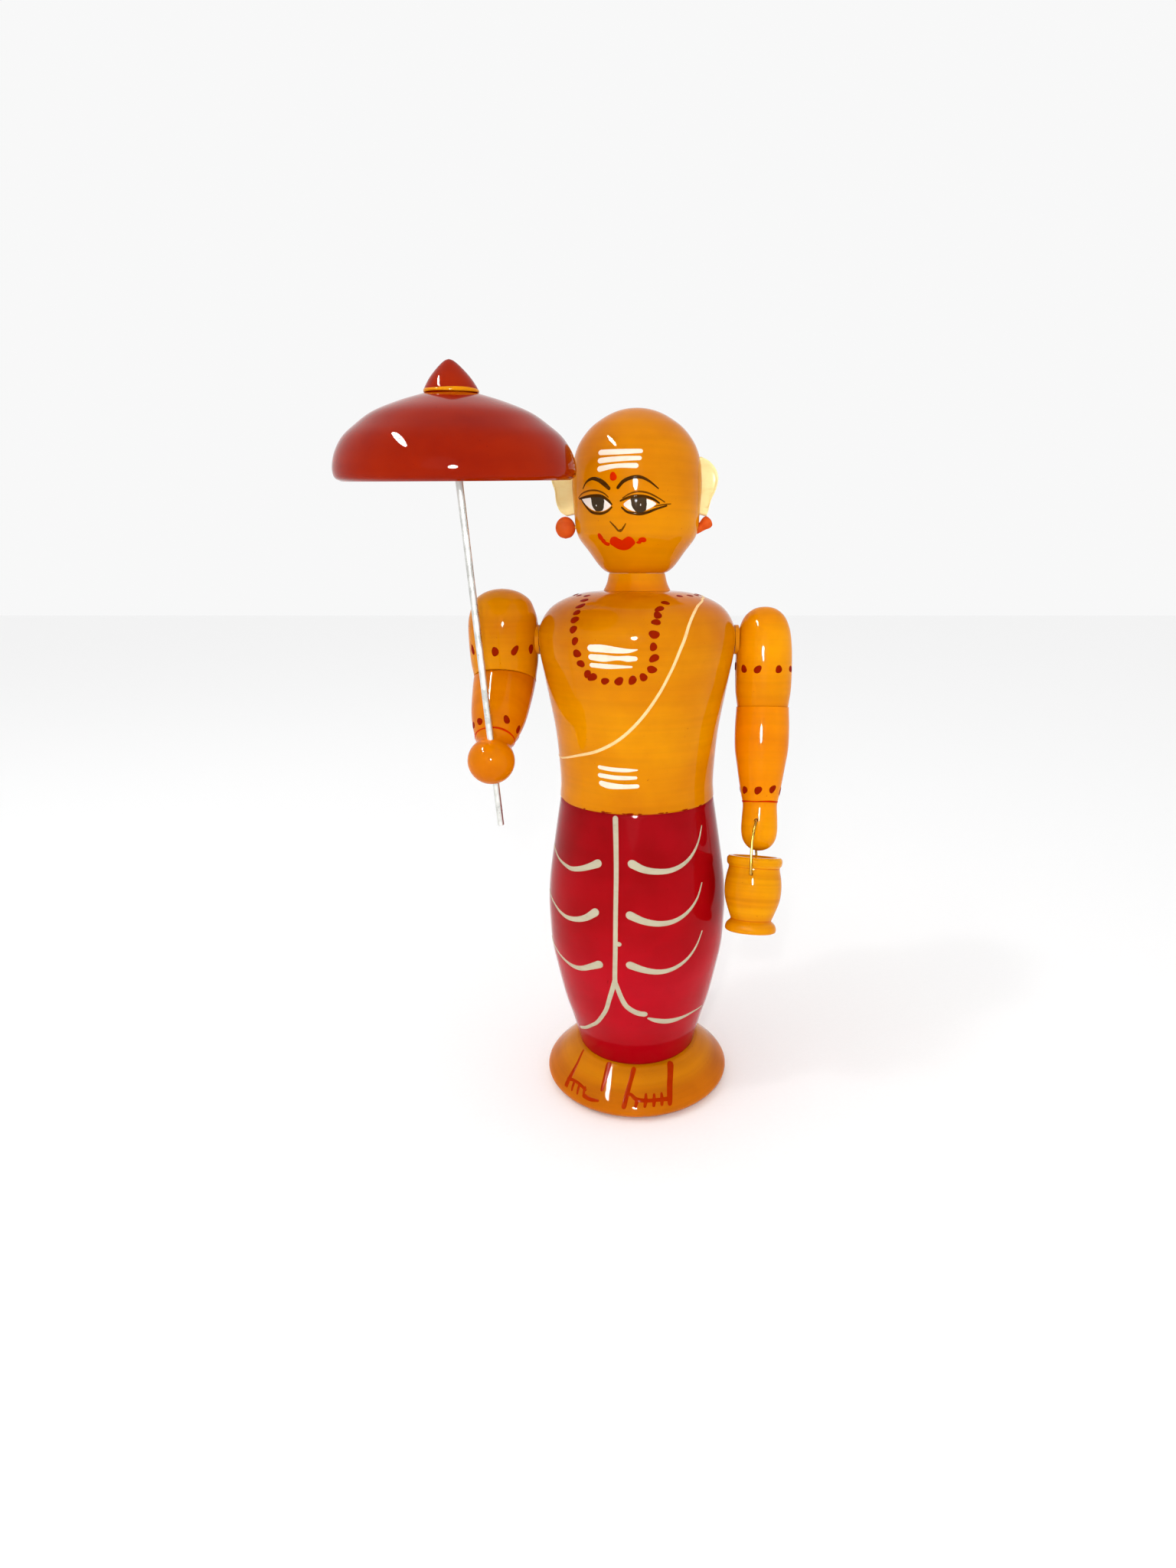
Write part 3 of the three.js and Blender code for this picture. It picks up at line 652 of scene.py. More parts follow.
def make_body():
    base_hole, base_reach = low("base_dowel").z - 0.1, high("base_dowel").z + 0.1
    waist_hole, waist_reach = low("waist_dowel").z - 0.1, high("waist_dowel").z + 0.1
    base = made("base_turned", turn(bored(BASE_PROFILE, None, base_hole)), base_skin.matrix)
    dhoti = made("dhoti_turned", turn(bored(DHOTI_PROFILE, base_reach, waist_hole)), dhoti_skin.matrix)
    solid = turn(bored(TORSO_PROFILE, waist_reach, low("neck_dowel").z - 0.1))
    for side in (-1, 1):
        seat = Vector((side * TORSO_FLAT_X, 0, SHOULDER.z))
        slice_off(solid, torso_skin.matrix, seat, SIDEWAYS * side, 0.2)
    torso = made("torso_turned", solid, torso_skin.matrix)
    for name in ("base_dowel", "waist_dowel", "neck_dowel"):
        pin(name, UP * half(name).z, DOWEL_R, "body")
    for name in ("shoulder_peg_right", "shoulder_peg_left"):
        pin(name, SIDEWAYS * half(name).x, PEG_R, "body")
        drill(torso, *through(name), PEG_R + PLAY)
    placed(base, BASE_YELLOW, "body", "base")
    placed(dhoti, RED, "body", "dhoti")
    placed(torso, YELLOW, "body", "torso")


def fading(points, widest, narrowest=0.45):
    """A stroke that starts full and runs out to a thin tail."""
    last = len(points) - 1
    return [(angle, height, widest + (narrowest - widest) * (k / last) ** 0.8)
            for k, (angle, height) in enumerate(points)]


def paint_torso():
    beads = [(-43, 151), (-40, 149.6), (-39, 148), (-38, 146.2), (-37, 143.8), (-35, 140.9),
             (-34, 137.7), (-32, 135.1), (-28.5, 132.5), (-25.5, 131.7), (-18, 130.8), (-10, 130.9),
             (-2.5, 131.2), (3.5, 132), (8, 134), (9, 136.9), (8.5, 139.8), (9, 142.9), (10.5, 145.9),
             (12, 147.6), (14, 149.1), (20, 150.5)]
    behind = [(-50 - 15 * k, 152.3 - 0.25 * abs(k - 9) / 9) for k in range(19)]
    dots = []
    for count, (angle, height) in enumerate(beads):
        wide = 2.7 + 0.4 * math.sin(2.3 * count)
        lean = 24 + 26 * math.sin(1.7 * count)
        dots.append((angle, height, wide, 2.1 + 0.2 * math.sin(3.1 * count), lean))
    dots += [(angle, height, 2.3, 1.8) for angle, height in behind]
    painted("necklace_beads", torso_skin, "body", DOT_RED, dots=dots)
    specks = [(-40, 0.9, 0.5), (-24, 1.6, 0.7), (-21, 2.6, 0.45), (-9, 1.2, 0.5), (-5, 2.8, 0.7),
              (2, 1.4, 0.45), (17, 1.8, 0.5), (21, 0.9, 0.4), (36, 2.4, 0.6), (52, 1.5, 0.5), (95, 2.2, 0.6),
              (140, 1.4, 0.5), (190, 2.4, 0.6), (240, 1.6, 0.5), (290, 2, 0.6)]
    smears = [(angle, WAIST + 0.3, wide, tall) for angle, wide, tall in specks]
    painted("waist_smears", torso_skin, "body", DOT_RED, dots=smears)
    chest = [[(-25, 139.3, 2), (-19, 139.3, 2.2), (-10, 138.9, 1.7), (-4, 138.8, 1.1), (0, 139.1, 0.35)],
             [(-25, 137, 1.7), (-18, 136.8, 2), (-11, 136.9, 1.2), (-8, 136.9, 1.3), (-5, 136.8, 1.7),
              (-1, 136.8, 1.3)],
             [(-25, 134.9, 1.3), (-16, 134.7, 1.4), (-9, 134.7, 1), (-3, 134.7, 0.6)]]
    belly = [[(-26, 106.7, 1.2), (-18, 106.4, 1.3), (-7, 106.3, 1.2), (0, 106.4, 0.5)],
             [(-26, 104.4, 1.4), (-16, 104.1, 1.4), (-8, 104.1, 1.3), (-1, 104.2, 1)],
             [(-25, 102.1, 1.7), (-20, 101.7, 2), (-10, 101.6, 1.5), (0, 101.8, 1.3)]]
    painted("torso_bars", torso_skin, "body", CHALK_WHITE, strokes=[*chest, *belly])
    thread = [(62, 151.2), (40, 148.9), (30, 145.2), (24.5, 140.2), (19.5, 134.2), (13.5, 128.2), (4, 121.6),
              (-9, 115.7), (-25, 111.6), (-43, 109.2), (-74, 106.3), (-100, 106.8), (-130, 111), (-160, 119),
              (-178, 127), (-194, 136), (-208, 143.5), (-222, 149), (-242, 151.2), (-270, 151.9),
              (-298, 151.2)]
    widths = [0.7, 0.8, 0.9, 1, 0.9, 0.9, 0.95, 0.95, 0.95, 0.8, 0.6] + [0.8] * 10
    knots = [(*point, width) for point, width in zip(thread, widths)]
    painted("sacred_thread", torso_skin, "body", THREAD_CREAM, strokes=[knots])


def paint_dhoti():
    centre = [(-15, WAIST - 1.2, 1.7), (-14, 86, 1.6), (-13, 75.3, 1.5), (-13, 56.7, 1.5), (-14, 44.6, 1.6)]
    left = [[(-26, 79.4), (-31, 78.3), (-38, 77), (-47, 76), (-54, 76.2), (-64, 76.9), (-80, 79)],
            [(-26, 65.4), (-32, 63.3), (-39, 61.9), (-48, 61.2), (-56, 61.6), (-64, 62.6), (-80, 64.5)],
            [(-24, 49.4), (-30, 48), (-38, 46.3), (-46, 45.8), (-54, 46.2), (-63, 47), (-80, 49)]]
    right = [[(-3, 80.1), (4, 78.6), (13, 77.8), (23, 77.8), (33, 79.2), (40, 81.3), (46, 84.2), (51, 88)],
             [(-4, 65.6), (4, 63.9), (13, 62.9), (22, 63), (30, 64.3), (36, 66.2), (41, 68.7), (45, 72)],
             [(-4, 50.3), (4, 48.8), (13, 47.8), (21, 47.9), (29, 49.2), (35, 51.1), (40, 53.8), (44, 57.5)]]
    fork_left = [(-14, 44.6), (-16, 41.7), (-19, 37.7), (-22, 33.9), (-26, 30.9), (-32, 27.6),
                 (-39, 25.3), (-48, 22.8), (-59, 20.7)]
    fork_right = [(-13.5, 43.8), (-11, 39.6), (-8, 36.4), (-4, 34.6), (1, 33.4), (5, 33)]
    hem = [(8.5, 31.3), (13, 30.4), (22, 29.2), (30, 28.8), (38, 28.8), (48, 28.9), (62, 28.3)]
    hem_widths = (0.9, 1.6, 2, 1.8, 1.3, 0.8, 0.4)
    hem = [(*point, width) for point, width in zip(hem, hem_widths)]
    strokes = [centre, fading(fork_left, 1.7, 1.1), fading(fork_right, 1.5, 2.1), hem]
    strokes += [fading(fold, 2.6, 0.5) for fold in [*left, *right]]
    painted("dhoti_pleats", dhoti_skin, "body", OFF_WHITE, strokes=strokes,
            dots=[(-11, 56.8, 1.8, 1.5)])


def paint_feet():
    """Two feet in a few strokes each: two sides, a row of toes and the line they stand on."""
    sides = [[(-59, 12.2, 0.8), (-54.5, 9.4, 1.1), (-52.5, 6.4, 1.7), (-52, 4.9, 1.3)],
             [(-26, 12.2, 2), (-25, 9.9, 1.7), (-24.5, 7.3, 1.2)],
             [(-3, 12, 1.7), (-5, 9.7, 1.5), (-6.8, 7.2, 1.6), (-8, 4.8, 1.7)],
             [(30.5, 11.9, 2.4), (27.5, 10.4, 2.1), (24, 8.3, 2), (21.5, 6, 1.9), (20.5, 4.8, 1.6)]]
    lines = [[(-53, 6.2, 1.2), (-47, 6.6, 1), (-41, 6.5, 1), (-36, 6.1, 0.9)],
             [(-35, 4.9, 1.5), (-30, 4.7, 1.3), (-25, 4.9, 0.9)],
             [(-7, 7, 1.1), (-4, 7.2, 1.1), (-1, 6.4, 1.3), (5, 6, 1.3), (13, 5.9, 1.2), (21, 5.7, 1.5)]]
    toes = [[(angle, 6.4, 1), (angle + 0.8, 5.5, 1), (angle + 1.6, 4.7, 0.8)]
            for angle in (-52, -47, -42, -37)]
    toes += [[(angle, top, 0.8), (angle - 0.5, 5.9, 1.3), (angle - 1.2, 4.9, 1)]
             for angle, top in ((0.4, 6.4), (6, 7.2), (11.5, 7), (16.6, 7))]
    painted("painted_feet", base_skin, "body", FOOT_RED, strokes=[*sides, *lines, *toes])


# ---------------- head
HEAD_PROFILE = outline([[7.6, 0], [8.1, 0.15], [9, 0.6], [10.4, 1.8], [13.5, 5.9], [16.2, 9.5], [17, 12],
                        [17.5, 18], [17.8, 24], [17.2, 29.8], [15.8, 33.6], [13, 37.3], [10.2, 39.5],
                        [7, 41.3], [4, 42.3], [0, 42.9]])
head_skin = Skin(HEAD_PROFILE, UP * CHIN)
RIGHT_EARRING = Vector((-19.9, 0, 170.4))
LEFT_EARRING = Vector((18.2, 0, 170.7))
LEFT_EAR_RIM = [[19.2, 173.3], [19.7, 174.8], [20.4, 177.5], [21.6, 180.1], [22.2, 183.1], [21.4, 185.6],
                [19.6, 187.5], [17.4, 188.6]]
RIGHT_EAR_RIM = [[19.5, 173.3], [21.1, 174.3], [22.2, 176.6], [22.6, 179.9], [23.4, 182.5], [23.1, 185],
                 [21.2, 187.3], [18, 188.6]]
EAR_ROOT_X = 15.2  # inside the head, where the ears and the earring pins start
EARRING_PIN_ROOT_X = 13.6
EARRING_PIN_R = 0.45


def ear(name, side, outer):
    """A flat carved ear let into the head: eased edges, and a shallow hollow inside a raised rim."""
    rim = [tuple(point) for point in spline(outer, 5)]
    edge = [(EAR_ROOT_X, 174.4), (17.6, 173.7), *rim, (EAR_ROOT_X, 188.0), (EAR_ROOT_X, 181)]
    centre_x = sum(x for x, z in edge) / len(edge)
    centre_z = sum(z for x, z in edge) / len(edge)
    side_y = high("ear_left").y
    steps = ((1, 0.5), (0.985, 0.2), (0.955, 0.05), (0.91, 0), (0.82, 0.02), (0.74, 0.25), (0.62, 0.34),
             (0.3, 0.38))
    bm = bmesh.new()
    loops = []
    for face in (-1, 1):
        for share, down in (steps if face > 0 else reversed(steps)):
            y = face * (side_y - down)
            loop = [(side * (centre_x + (x - centre_x) * share), y, centre_z + (z - centre_z) * share)
                    for x, z in edge]
            loops.append([bm.verts.new(Vector(place) * MM) for place in loop])
    for one, two in zip(loops, loops[1:]):
        for k in range(len(edge)):
            n = (k + 1) % len(edge)
            bm.faces.new((one[k], one[n], two[n], two[k]))
    bm.faces.new(loops[0])
    bm.faces.new(loops[-1])
    placed(made(name + "_carved", bm, Matrix(), 50), EAR_CREAM, "head", name)


def earring(name, profile, place, axis, pin_node):
    """A small turned bead on a pin."""
    skin = Skin(profile, place, axis)
    bead = made(name + "_turned", turn(profile, 64), skin.matrix)
    side = 1 if place.x > 0 else -1
    start = Vector((side * EARRING_PIN_ROOT_X, 0, place.z))
    end = Vector((place.x, 0, place.z))
    placed(bead, EARRING_ORANGE, "head", name)
    placed(rod(pin_node + "_wire", start, end, EARRING_PIN_R, 24, 0.1), BRASS, "head", pin_node)


def make_head():
    neck_reach = high("neck_dowel").z + 0.1 - CHIN
    head = made("head_turned", turn(bored(HEAD_PROFILE, neck_reach)), head_skin.matrix)
    placed(head, YELLOW_HEAD, "head", "head")
    ear("ear_right", -1, RIGHT_EAR_RIM)
    ear("ear_left", 1, LEFT_EAR_RIM)
    bead = outline([[0, -3.1], [1.6, -2.6], [2.6, -1.2], [2.75, 0.1], [2.2, 1.5], [1.1, 2.5], [0, 2.8]])
    stud = outline([[0, -3.1], [0.7, -2.7], [1.3, 0], [1.7, 1.5], [1.5, 2.3], [0.6, 2.75], [0, 2.8]])
    earring("earring_right", bead, RIGHT_EARRING, UP, "earring_pin_right")
    earring("earring_left", stud, LEFT_EARRING, Vector((0.8, 0, 0.6)).normalized(), "earring_pin_left")


def thin(points, widest):
    """A line that swells in the middle and is fine at both ends."""
    ends = 0.25
    last = len(points) - 1
    return [(angle, height, ends + (widest - ends) * math.sin(math.pi * (0.12 + 0.76 * k / last)))
            for k, (angle, height) in enumerate(points)]


def paint_face():
    tilak = [[(-32.5, 29.8, 1.5), (-15, 29.7, 1.5), (3, 29.8, 1.2)],
             [(-32.5, 27.8, 1.5), (-15, 28, 1.4), (2, 28.1, 1.2)],
             [(-32.5, 25.8, 1.6), (-18, 26.3, 1.2), (-1, 26.3, 1.4)]]
    painted("forehead_bars", head_skin, "head", CHALK_WHITE, strokes=tilak)
    painted("forehead_dot", head_skin, "head", LIP_RED, dots=[(-20, 23.8, 2.2, 2.1)])
    right_white = [(-57, 18.9), (-49, 17), (-41, 15.8), (-33, 15.4), (-26, 15.9), (-22, 16.9), (-25, 18.4),
                   (-34, 19), (-45, 19.2)]
    left_white = [(-12, 17), (-7, 18.2), (1, 18.6), (10, 18.3), (17, 17.2), (10, 15.8), (1, 15.1),
                  (-7, 15.7)]
    painted("eye_whites", head_skin, "head", EYE_WHITE, patches=[right_white, left_white])
    right_iris = [(-43.5, 19.1), (-43, 17.2), (-39, 15.8), (-34, 15.5), (-29, 16.2), (-28, 18), (-30, 19),
                  (-37, 19.2)]
    left_iris = [(-5.5, 18.3), (-5.5, 16.8), (-2, 15.4), (3, 15), (8, 15.8), (9, 17.2), (8, 18.4), (1, 18.7)]
    painted("irises", head_skin, "head", IRIS, patches=[right_iris, left_iris], base=0.06)
    glints = [(-37, 17, 0.3, 0.45), (3, 16.9, 0.3, 0.6)]
    painted("eye_glints", head_skin, "head", EYE_WHITE, dots=glints, base=0.12)
    lines = [
        [(-53, 21.5, 0.3), (-48, 22.9, 0.5), (-41, 23.6, 0.8), (-34, 23.2, 1.1), (-28, 22.1, 1.2),
         (-24, 21, 0.9)],
        [(-16, 21.1, 0.8), (-12, 22.4, 0.9), (-6, 23.3, 0.9), (2, 23.6, 0.8), (9, 22.8, 0.6),
         (18, 20.9, 0.3)],
        thin([(-60, 19.1), (-50, 19.3), (-42, 19.4), (-31, 19.1), (-25, 18), (-22, 17.1)], 0.85),
        thin([(-57, 18.9), (-50, 16.9), (-44, 15.6), (-38, 15.1), (-32, 15), (-26, 15.5), (-22, 16.4)], 0.7),
        thin([(-14, 17.9), (-9, 18.5), (-4, 18.9), (1, 19), (7, 18.9), (14, 18.3), (19, 17.4)], 0.75),
        thin([(-13, 16.3), (-9, 15.3), (-4, 14.9), (3, 14.7), (9, 15.1), (17, 16), (26, 16.8)], 0.7),
    ]
    painted("face_lines", head_skin, "head", BLACK, strokes=lines, base=0.05)
    creases = [
        thin([(-62, 19.4), (-56, 20.2), (-50, 20.6), (-42, 20.8), (-34, 20.5), (-28, 19.7), (-25, 18.9)],
             0.5),
        thin([(-12, 18.6), (-6, 19.6), (1, 20.1), (9, 19.8), (17, 18.8), (24, 17.7)], 0.5),
        thin([(15, 16.6), (22, 17), (30, 17.3)], 0.4),
        thin([(-24, 12.9), (-20, 11.7), (-16.5, 10.6), (-15, 10.9)], 0.55),
        thin([(-17, 10.7), (-15, 10.5), (-12, 11.4), (-10, 12.3)], 0.55),
    ]
    painted("face_creases", head_skin, "head", CREASE, strokes=creases)
    lips = [(-29.5, 7.6), (-26.5, 8.9), (-21, 9.3), (-17, 8.7), (-14.5, 8.4), (-12, 8.8), (-7.5, 9.3),
            (-3.5, 8.8), (-1, 7.7), (-4.5, 6.7), (-10, 5.9), (-18, 5.8), (-25, 6.5)]
    corners = [(-37.2, 9.2, 1.9, 2.1, 10), (-35.3, 8.2, 1.8, 1.6), (-32.8, 7.5, 2.2, 1.3, -15),
               (2, 7.8, 1.6, 1), (5.4, 8.4, 2.1, 1.8)]
    painted("lips", head_skin, "head", LIP_RED, patches=[lips], dots=corners)


# ---------------- arms
def limb(name, skin, *cuts):
    """A turned limb piece with its flat cuts, each a point, the way out of the wood and a rounding."""
    bm = turn(skin.profile)
    for cut in cuts:
        slice_off(bm, skin.matrix, *cut)
    return made(name, bm, skin.matrix)


fist_ball = []
for step in range(25):
    sweep_angle = step / 24 * 0.7 * math.pi
    fist_ball.append((FIST_R * math.sin(sweep_angle), -FIST_R * math.cos(sweep_angle)))
forearm = outline([[4.95, 4.6], [5, 5.6], [5.5, 7.2], [6.4, 9.8], [7.6, 14.5], [8.4, 21], [8.9, 28.6],
                   [8.9, 40]])
right_fore_skin = Skin([*fist_ball, *forearm], FIST, -RIGHT_FORE)
right_upper_skin = Skin(
    outline([[8.6, -8], [8.9, 0.3], [9.6, 5], [9.95, 11], [9.8, 16.8], [8.9, 20.2], [7.7, 22.7],
             [5.2, 24.6], [2.6, 25.5], [0, 25.8]]),
    Vector((RIGHT_ARM_X, 0, RIGHT_ELBOW.z)))
left_upper_skin = Skin(
    outline([[7, -5], [7.4, 0.2], [8, 4.8], [8.15, 12], [7.9, 18], [7.2, 22.4], [5.7, 25.8],
             [3.6, 27.7], [1.8, 28.4], [0, 28.6]]),
    LEFT_ELBOW, -LEFT_UPPER_DOWN)
left_fore_skin = Skin(
    outline([[0, 0], [1.6, 0.3], [3.3, 1.2], [4.6, 3], [5.2, 5.6], [5.15, 9.5], [4.95, 13.2],
             [5.1, 14.4], [5.5, 16.2], [6.3, 20.6], [7, 25], [7.7, 29.6], [7.85, 36], [7.6, 41.9],
             [7.6, 47]]),
    LEFT_TIP, -LEFT_FORE)


def shoulder_seat(hand, side):
    """The ridge of lac between an arm and the torso, round the shoulder peg. It turns with the arm."""
    start = Vector((side * (TORSO_FLAT_X + 0.03), 0, SHOULDER.z))
    end = Vector((side * (ARM_FLAT_X + 0.6), 0, SHOULDER.z))
    seat = rod("shoulder_seat_" + hand + "_arm", start, end, SEAT_R, 64, 0.05)
    drill(seat, *through("shoulder_peg_" + hand), PEG_R + PLAY)
    placed(seat, YELLOW_ARM, hand + "_arm")


def make_arm(hand, side, elbow, down, upper_skin, upper_lac, fore_skin, fore_lac, wire_hole):
    """Two turned pieces glued at a mitred elbow, square to down, and bored for peg, dowel and wire."""
    body = hand + "_arm"
    shoulder_cut = (Vector((side * ARM_FLAT_X, 0, SHOULDER.z)), SIDEWAYS * -side, 0.25)
    upper_cut = (elbow - down * JOINT_GAP, down, 0.1)
    upper = limb(hand + "_upper_arm_turned", upper_skin, upper_cut, shoulder_cut)
    drill(upper, *through("shoulder_peg_" + hand), PEG_R + PLAY)
    shoulder_seat(hand, side)
    placed(upper, upper_lac, body, hand + "_upper_arm")
    fore = limb(hand + "_forearm_turned", fore_skin, (elbow + down * JOINT_GAP, -down, 0.1))
    hole_reach = down * (ELBOW_REACH + 0.2)
    for piece in (upper, fore):
        drill(piece, elbow - hole_reach, elbow + hole_reach, ELBOW_DOWEL_R + PLAY)
    drill(fore, *wire_hole)
    placed(fore, fore_lac, body, hand + "_forearm")
    pin(hand + "_elbow_dowel", down * ELBOW_REACH, ELBOW_DOWEL_R, body)


def make_arms():
    in_fist = ROD_TOP + ROD_AXIS * (FIST - ROD_TOP).dot(ROD_AXIS)
    rod_hole = (in_fist - ROD_AXIS * 12, in_fist + ROD_AXIS * 12, ROD_R + 0.08)
    make_arm("right", -1, RIGHT_ELBOW, (RIGHT_FORE - UP).normalized(), right_upper_skin, YELLOW_ARM,
             right_fore_skin, ORANGE_ARM, rod_hole)
    bail_hole = (BAIL_HOLE - AHEAD * 10, BAIL_HOLE + AHEAD * 10, HAND_HOLE_R, 20)
    make_arm("left", 1, LEFT_ELBOW, (LEFT_UPPER_DOWN + LEFT_FORE).normalized(), left_upper_skin, BRIGHT_ARM,
             left_fore_skin, BRIGHT_FORE, bail_hole)


def paint_arm(hand, upper_skin, upper_row, fore_skin, fore_row, wrist_ring):
    """Rows of dabs, each a little off the line and leaning its own way, and a line at the wrist."""
    body = hand + "_arm"
    for piece, skin, row in (("upper_arm", upper_skin, upper_row), ("forearm", fore_skin, fore_row)):
        angles, height, wide, tall = row
        marks = [(angle, height + 0.5 * math.sin(angle), wide, tall, 35 * math.sin(3.1 * angle))
                 for angle in angles]
        painted(hand + "_" + piece + "_dabs", skin, body, DOT_RED, dots=marks)
    painted(hand + "_wrist_line", fore_skin, body, LINE_RED, rings=[wrist_ring])


def paint_arms():
    paint_arm("right", right_upper_skin, ((-54, -6, 26, 58, 100, 140, 182, 224, 266), 8.8, 2, 3),
              right_fore_skin, ((-38, 33, 78, 120, 165, 210, 255, 290), 9.6, 2.1, 2.4), (7.2, 0.55))
    paint_arm("left", left_upper_skin, ((-51, -20, 23, 62, 100, 140, 182, 224, 266), 11.3, 2.6, 2.1),
              left_fore_skin, ((-59, -15, 28, 74, 120, 165, 210, 255), 17.9, 2.2, 2.6), (14.4, 0.5))


# ---------------- umbrella
CANOPY_OUTER = [[26.6, 0], [27.8, 0.7], [28.2, 2.2], [27.85, 4.5], [26.85, 7], [25.05, 9.6], [22.05, 12.1],
                [18.35, 14.6], [12.3, 17], [6.5, CANOPY_HEIGHT]]
CANOPY_INNER = [[4.4, 12.9], [9, 12.5], [15, 10.9], [19.8, 8.2], [23.2, 4.4], [24.9, 0.4], [25.4, 0]]
HUB = [[0, 8.6], [3.9, 8.6], [4.4, 9.2]]
FINIAL_PROFILE = [[5.6, 0.05], [6.2, 0.3], [6.15, 0.9], [5.55, 2], [4.75, 3.2], [3.45, 4.7], [2, 6.1],
                  [0.9, 6.9], [0, 7.2]]


def make_umbrella():
    canopy_skin = Skin(outline(CANOPY_OUTER), CANOPY_RIM, CANOPY_AXIS)
    section = [*HUB, *outline(CANOPY_INNER), *outline(CANOPY_OUTER)]
    canopy = made("canopy_turned", turn(section, 160), canopy_skin.matrix)
    drill(canopy, ROD_TOP - ROD_AXIS * 12, ROD_TOP + ROD_AXIS * 1.1, ROD_R + 0.1)
    placed(canopy, BROWN, "umbrella_top", "canopy")
    finial_skin = Skin(outline(FINIAL_PROFILE), CROWN, CANOPY_AXIS)
    finial = made("finial_turned", turn(outline(FINIAL_PROFILE), 96), finial_skin.matrix)
    placed(finial, BROWN, "umbrella_top", "finial")
    bm = bmesh.new()
    ring(bm, finial_skin, 0.6, 0.9, 0.1)
    placed(made("finial_band", bm, finial_skin.matrix), POT_YELLOW, "umbrella_top")
    length = (high("umbrella_rod") - low("umbrella_rod")).z / ROD_AXIS.z
    stick = rod("umbrella_rod_drawn", ROD_TOP - ROD_AXIS * (length - 0.2), ROD_TOP, ROD_R, 48, 0.2)
    placed(stick, STEEL, "umbrella_stick", "umbrella_rod")


# ---------------- pot and bail
POT_OUTER = [[6.6, 0], [7.2, 0.4], [7.35, 1.1], [7, 2.3], [5.8, 3.5], [6.6, 5.5], [7.9, 9.5], [8.2, 13.2],
             [7.9, 16], [7.4, 18.4], [7.4, 18.9], [7.9, 19.6], [7.95, 21.2], [7.5, POT_HEIGHT]]
POT_INNER = [[6.4, POT_HEIGHT], [6.1, 21.2], [5.9, 18.6], [6.4, 14.5], [6.5, 11], [5.6, 6.5], [3.6, 3.8],
             [0, 3.5]]
# half of the bail, from the hole in the hand: sideways, ahead and down
HALF_WIRE = [[0, 2.5, 0], [0, 5.2, 0], [-0.25, 6.2, 0.5], [-0.9, 7.2, 2.6], [-1.6, 8.1, 6],
             [-2, 8.7, 10], [-2.1, 8.8, 12.8]]


def bail_point(x, forward, drop):
    return BAIL_HOLE + SIDEWAYS * x + AHEAD * forward + HANG * drop


def make_bail():
    """Stiff wire through the hand and down both sides of the pot, with its ends hooked in."""
    drop = (HOOKS - BAIL_HOLE).dot(HANG)
    near = [*HALF_WIRE]
    for reach in (8.5, 7.2, 6.6):
        near.append([HOOK_AXIS.x * reach, HOOK_AXIS.dot(AHEAD) * reach, drop])
    other = [[-x, -forward, down] for x, forward, down in reversed(near)]
    route = spline([bail_point(*point) for point in [*other, [0, 0, 0], *near]], 10)
    wire = made("pot_bail_wire", tube([Vector(place) for place in route], WIRE_R), Matrix())
    placed(wire, BRASS, "bail", "pot_bail")


def make_pot():
    turned_down = Matrix.Rotation(-POT_ROLL, 3, HOOK_AXIS) @ HANG
    bottom = HOOKS + turned_down * (POT_HEIGHT - HOOK_DROP)
    outer = outline(POT_OUTER, corners=[4])
    skin = Skin(outer, bottom, -turned_down)
    pot = made("pot_turned", turn([*outer, *outline(POT_INNER)]), skin.matrix)
    drill(pot, HOOKS - HOOK_AXIS * 10, HOOKS + HOOK_AXIS * 10, HOOK_HOLE_R, 20)
    placed(pot, POT_YELLOW, "pot", "pot")
    bm = bmesh.new()
    for height, width in ((18.7, 0.45), (3.6, 0.5)):
        ring(bm, skin, height, width, 0.04, 0.03)
    placed(made("pot_bands", bm, skin.matrix), ORANGE_ARM, "pot")


# ---------------- stage
def make_camera():
    data = bpy.data.cameras.new("camera")
    data.lens = 18.46
    data.sensor_width = 36
    data.shift_x = -0.03125
    data.clip_start = 0.01
    camera = bpy.data.objects.new("camera", data)
    camera.location = Vector((0, -234.6, 157.7)) * MM
    camera.rotation_euler = (math.radians(90 - 14.62), 0, 0)
    scene.collection.objects.link(camera)
    scene.camera = camera


FLASH_PLACE = (-0.012, -0.25, 0.19)  # in metres, just above the camera
LAMP_PLACE = (-0.49, -0.26, 0.83)  # high up on the doll's right


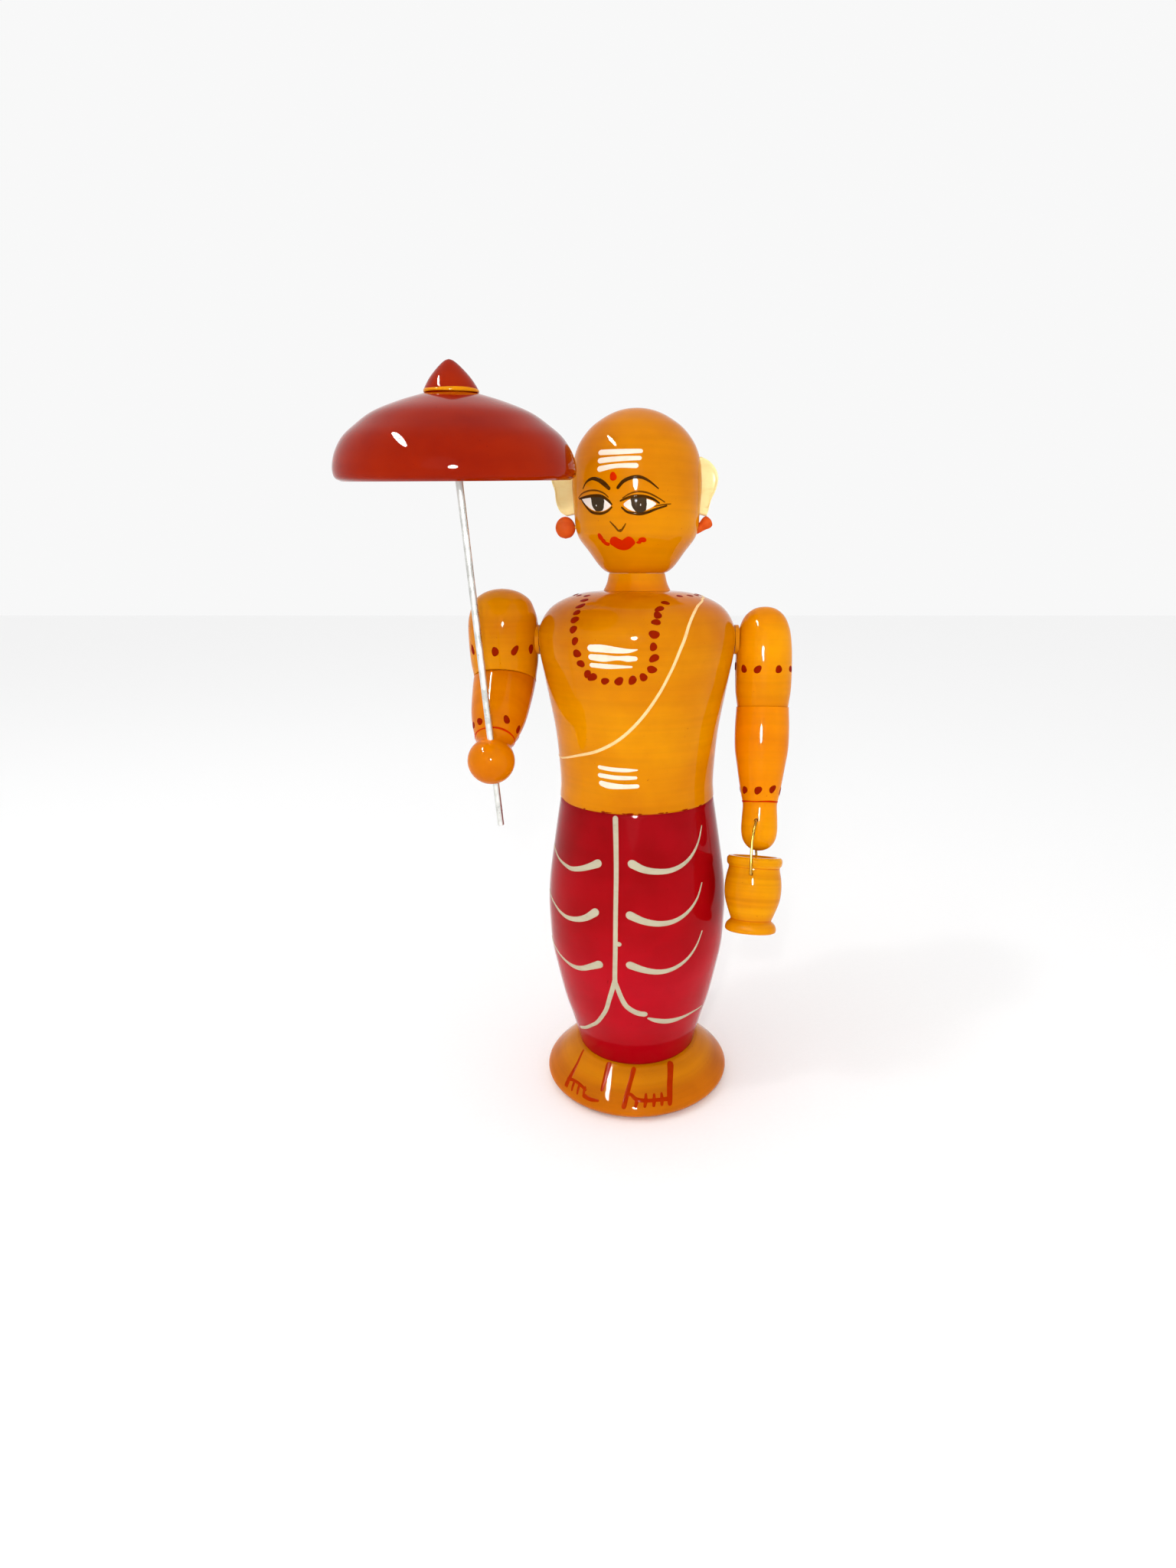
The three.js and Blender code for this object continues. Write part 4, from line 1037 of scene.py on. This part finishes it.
def area_light(name, place, target, size, power, roll=0, glints_only=False):
    """A light aimed at a target, of a (width, height). A glints_only light shows in the gloss alone."""
    data = bpy.data.lights.new(name, "AREA")
    data.shape = "ELLIPSE"
    data.size, data.size_y = size
    data.energy = power
    light = bpy.data.objects.new(name, data)
    light.visible_camera = False
    light.visible_diffuse = not glints_only
    light.location = place
    aim = (Vector(target) - Vector(place)).to_track_quat("-Z", "Y").to_matrix()
    light.rotation_euler = (aim @ Matrix.Rotation(math.radians(roll), 3, "Z")).to_euler()
    scene.collection.objects.link(light)


def make_stage():
    world = bpy.data.worlds.new("studio")
    world.use_nodes = True
    world.node_tree.nodes["Background"].inputs["Color"].default_value = WHITE
    world.node_tree.nodes["Background"].inputs["Strength"].default_value = 0.94
    scene.world = world
    reach = 3
    mesh = bpy.data.meshes.new("floor")
    corners = [(-reach, -reach, 0), (reach, -reach, 0), (reach, reach, 0), (-reach, reach, 0)]
    mesh.from_pydata(corners, [], [(0, 1, 2, 3)])
    floor = bpy.data.objects.new("floor", mesh)
    scene.collection.objects.link(floor)
    s = Shader("floor_paper", Roughness=0.9)
    fibre = s.noise(900.0)
    s.paint("Base Color", s.ramp(fibre, (0.0, (0.93, 0.93, 0.93, 1)), (1.0, (0.97, 0.97, 0.97, 1))))
    mesh.materials.append(s.material)
    area_light("soft_key", (-0.1, -1.0, 0.35), (0, 0, 0.1), (0.6, 0.6), 0.8)
    area_light("fill", FLASH_PLACE, (0, 0, 0.11), (0.011, 0.011), 0.13)
    area_light("lamp", LAMP_PLACE, (0, 0, 0.12), (0.06, 0.06), 0.8)
    area_light("flash_glint", FLASH_PLACE, (0, 0, 0.11), (0.03, 0.045), 2.4, glints_only=True)
    area_light("lamp_glint", LAMP_PLACE, (0, 0, 0.12), (0.5, 0.07), 26, roll=-28, glints_only=True)
    scene.view_settings.view_transform = "Standard"


make_camera()
make_stage()
make_body()
paint_torso()
paint_dhoti()
paint_feet()
make_head()
paint_face()
make_arms()
paint_arms()
make_umbrella()
make_bail()
make_pot()
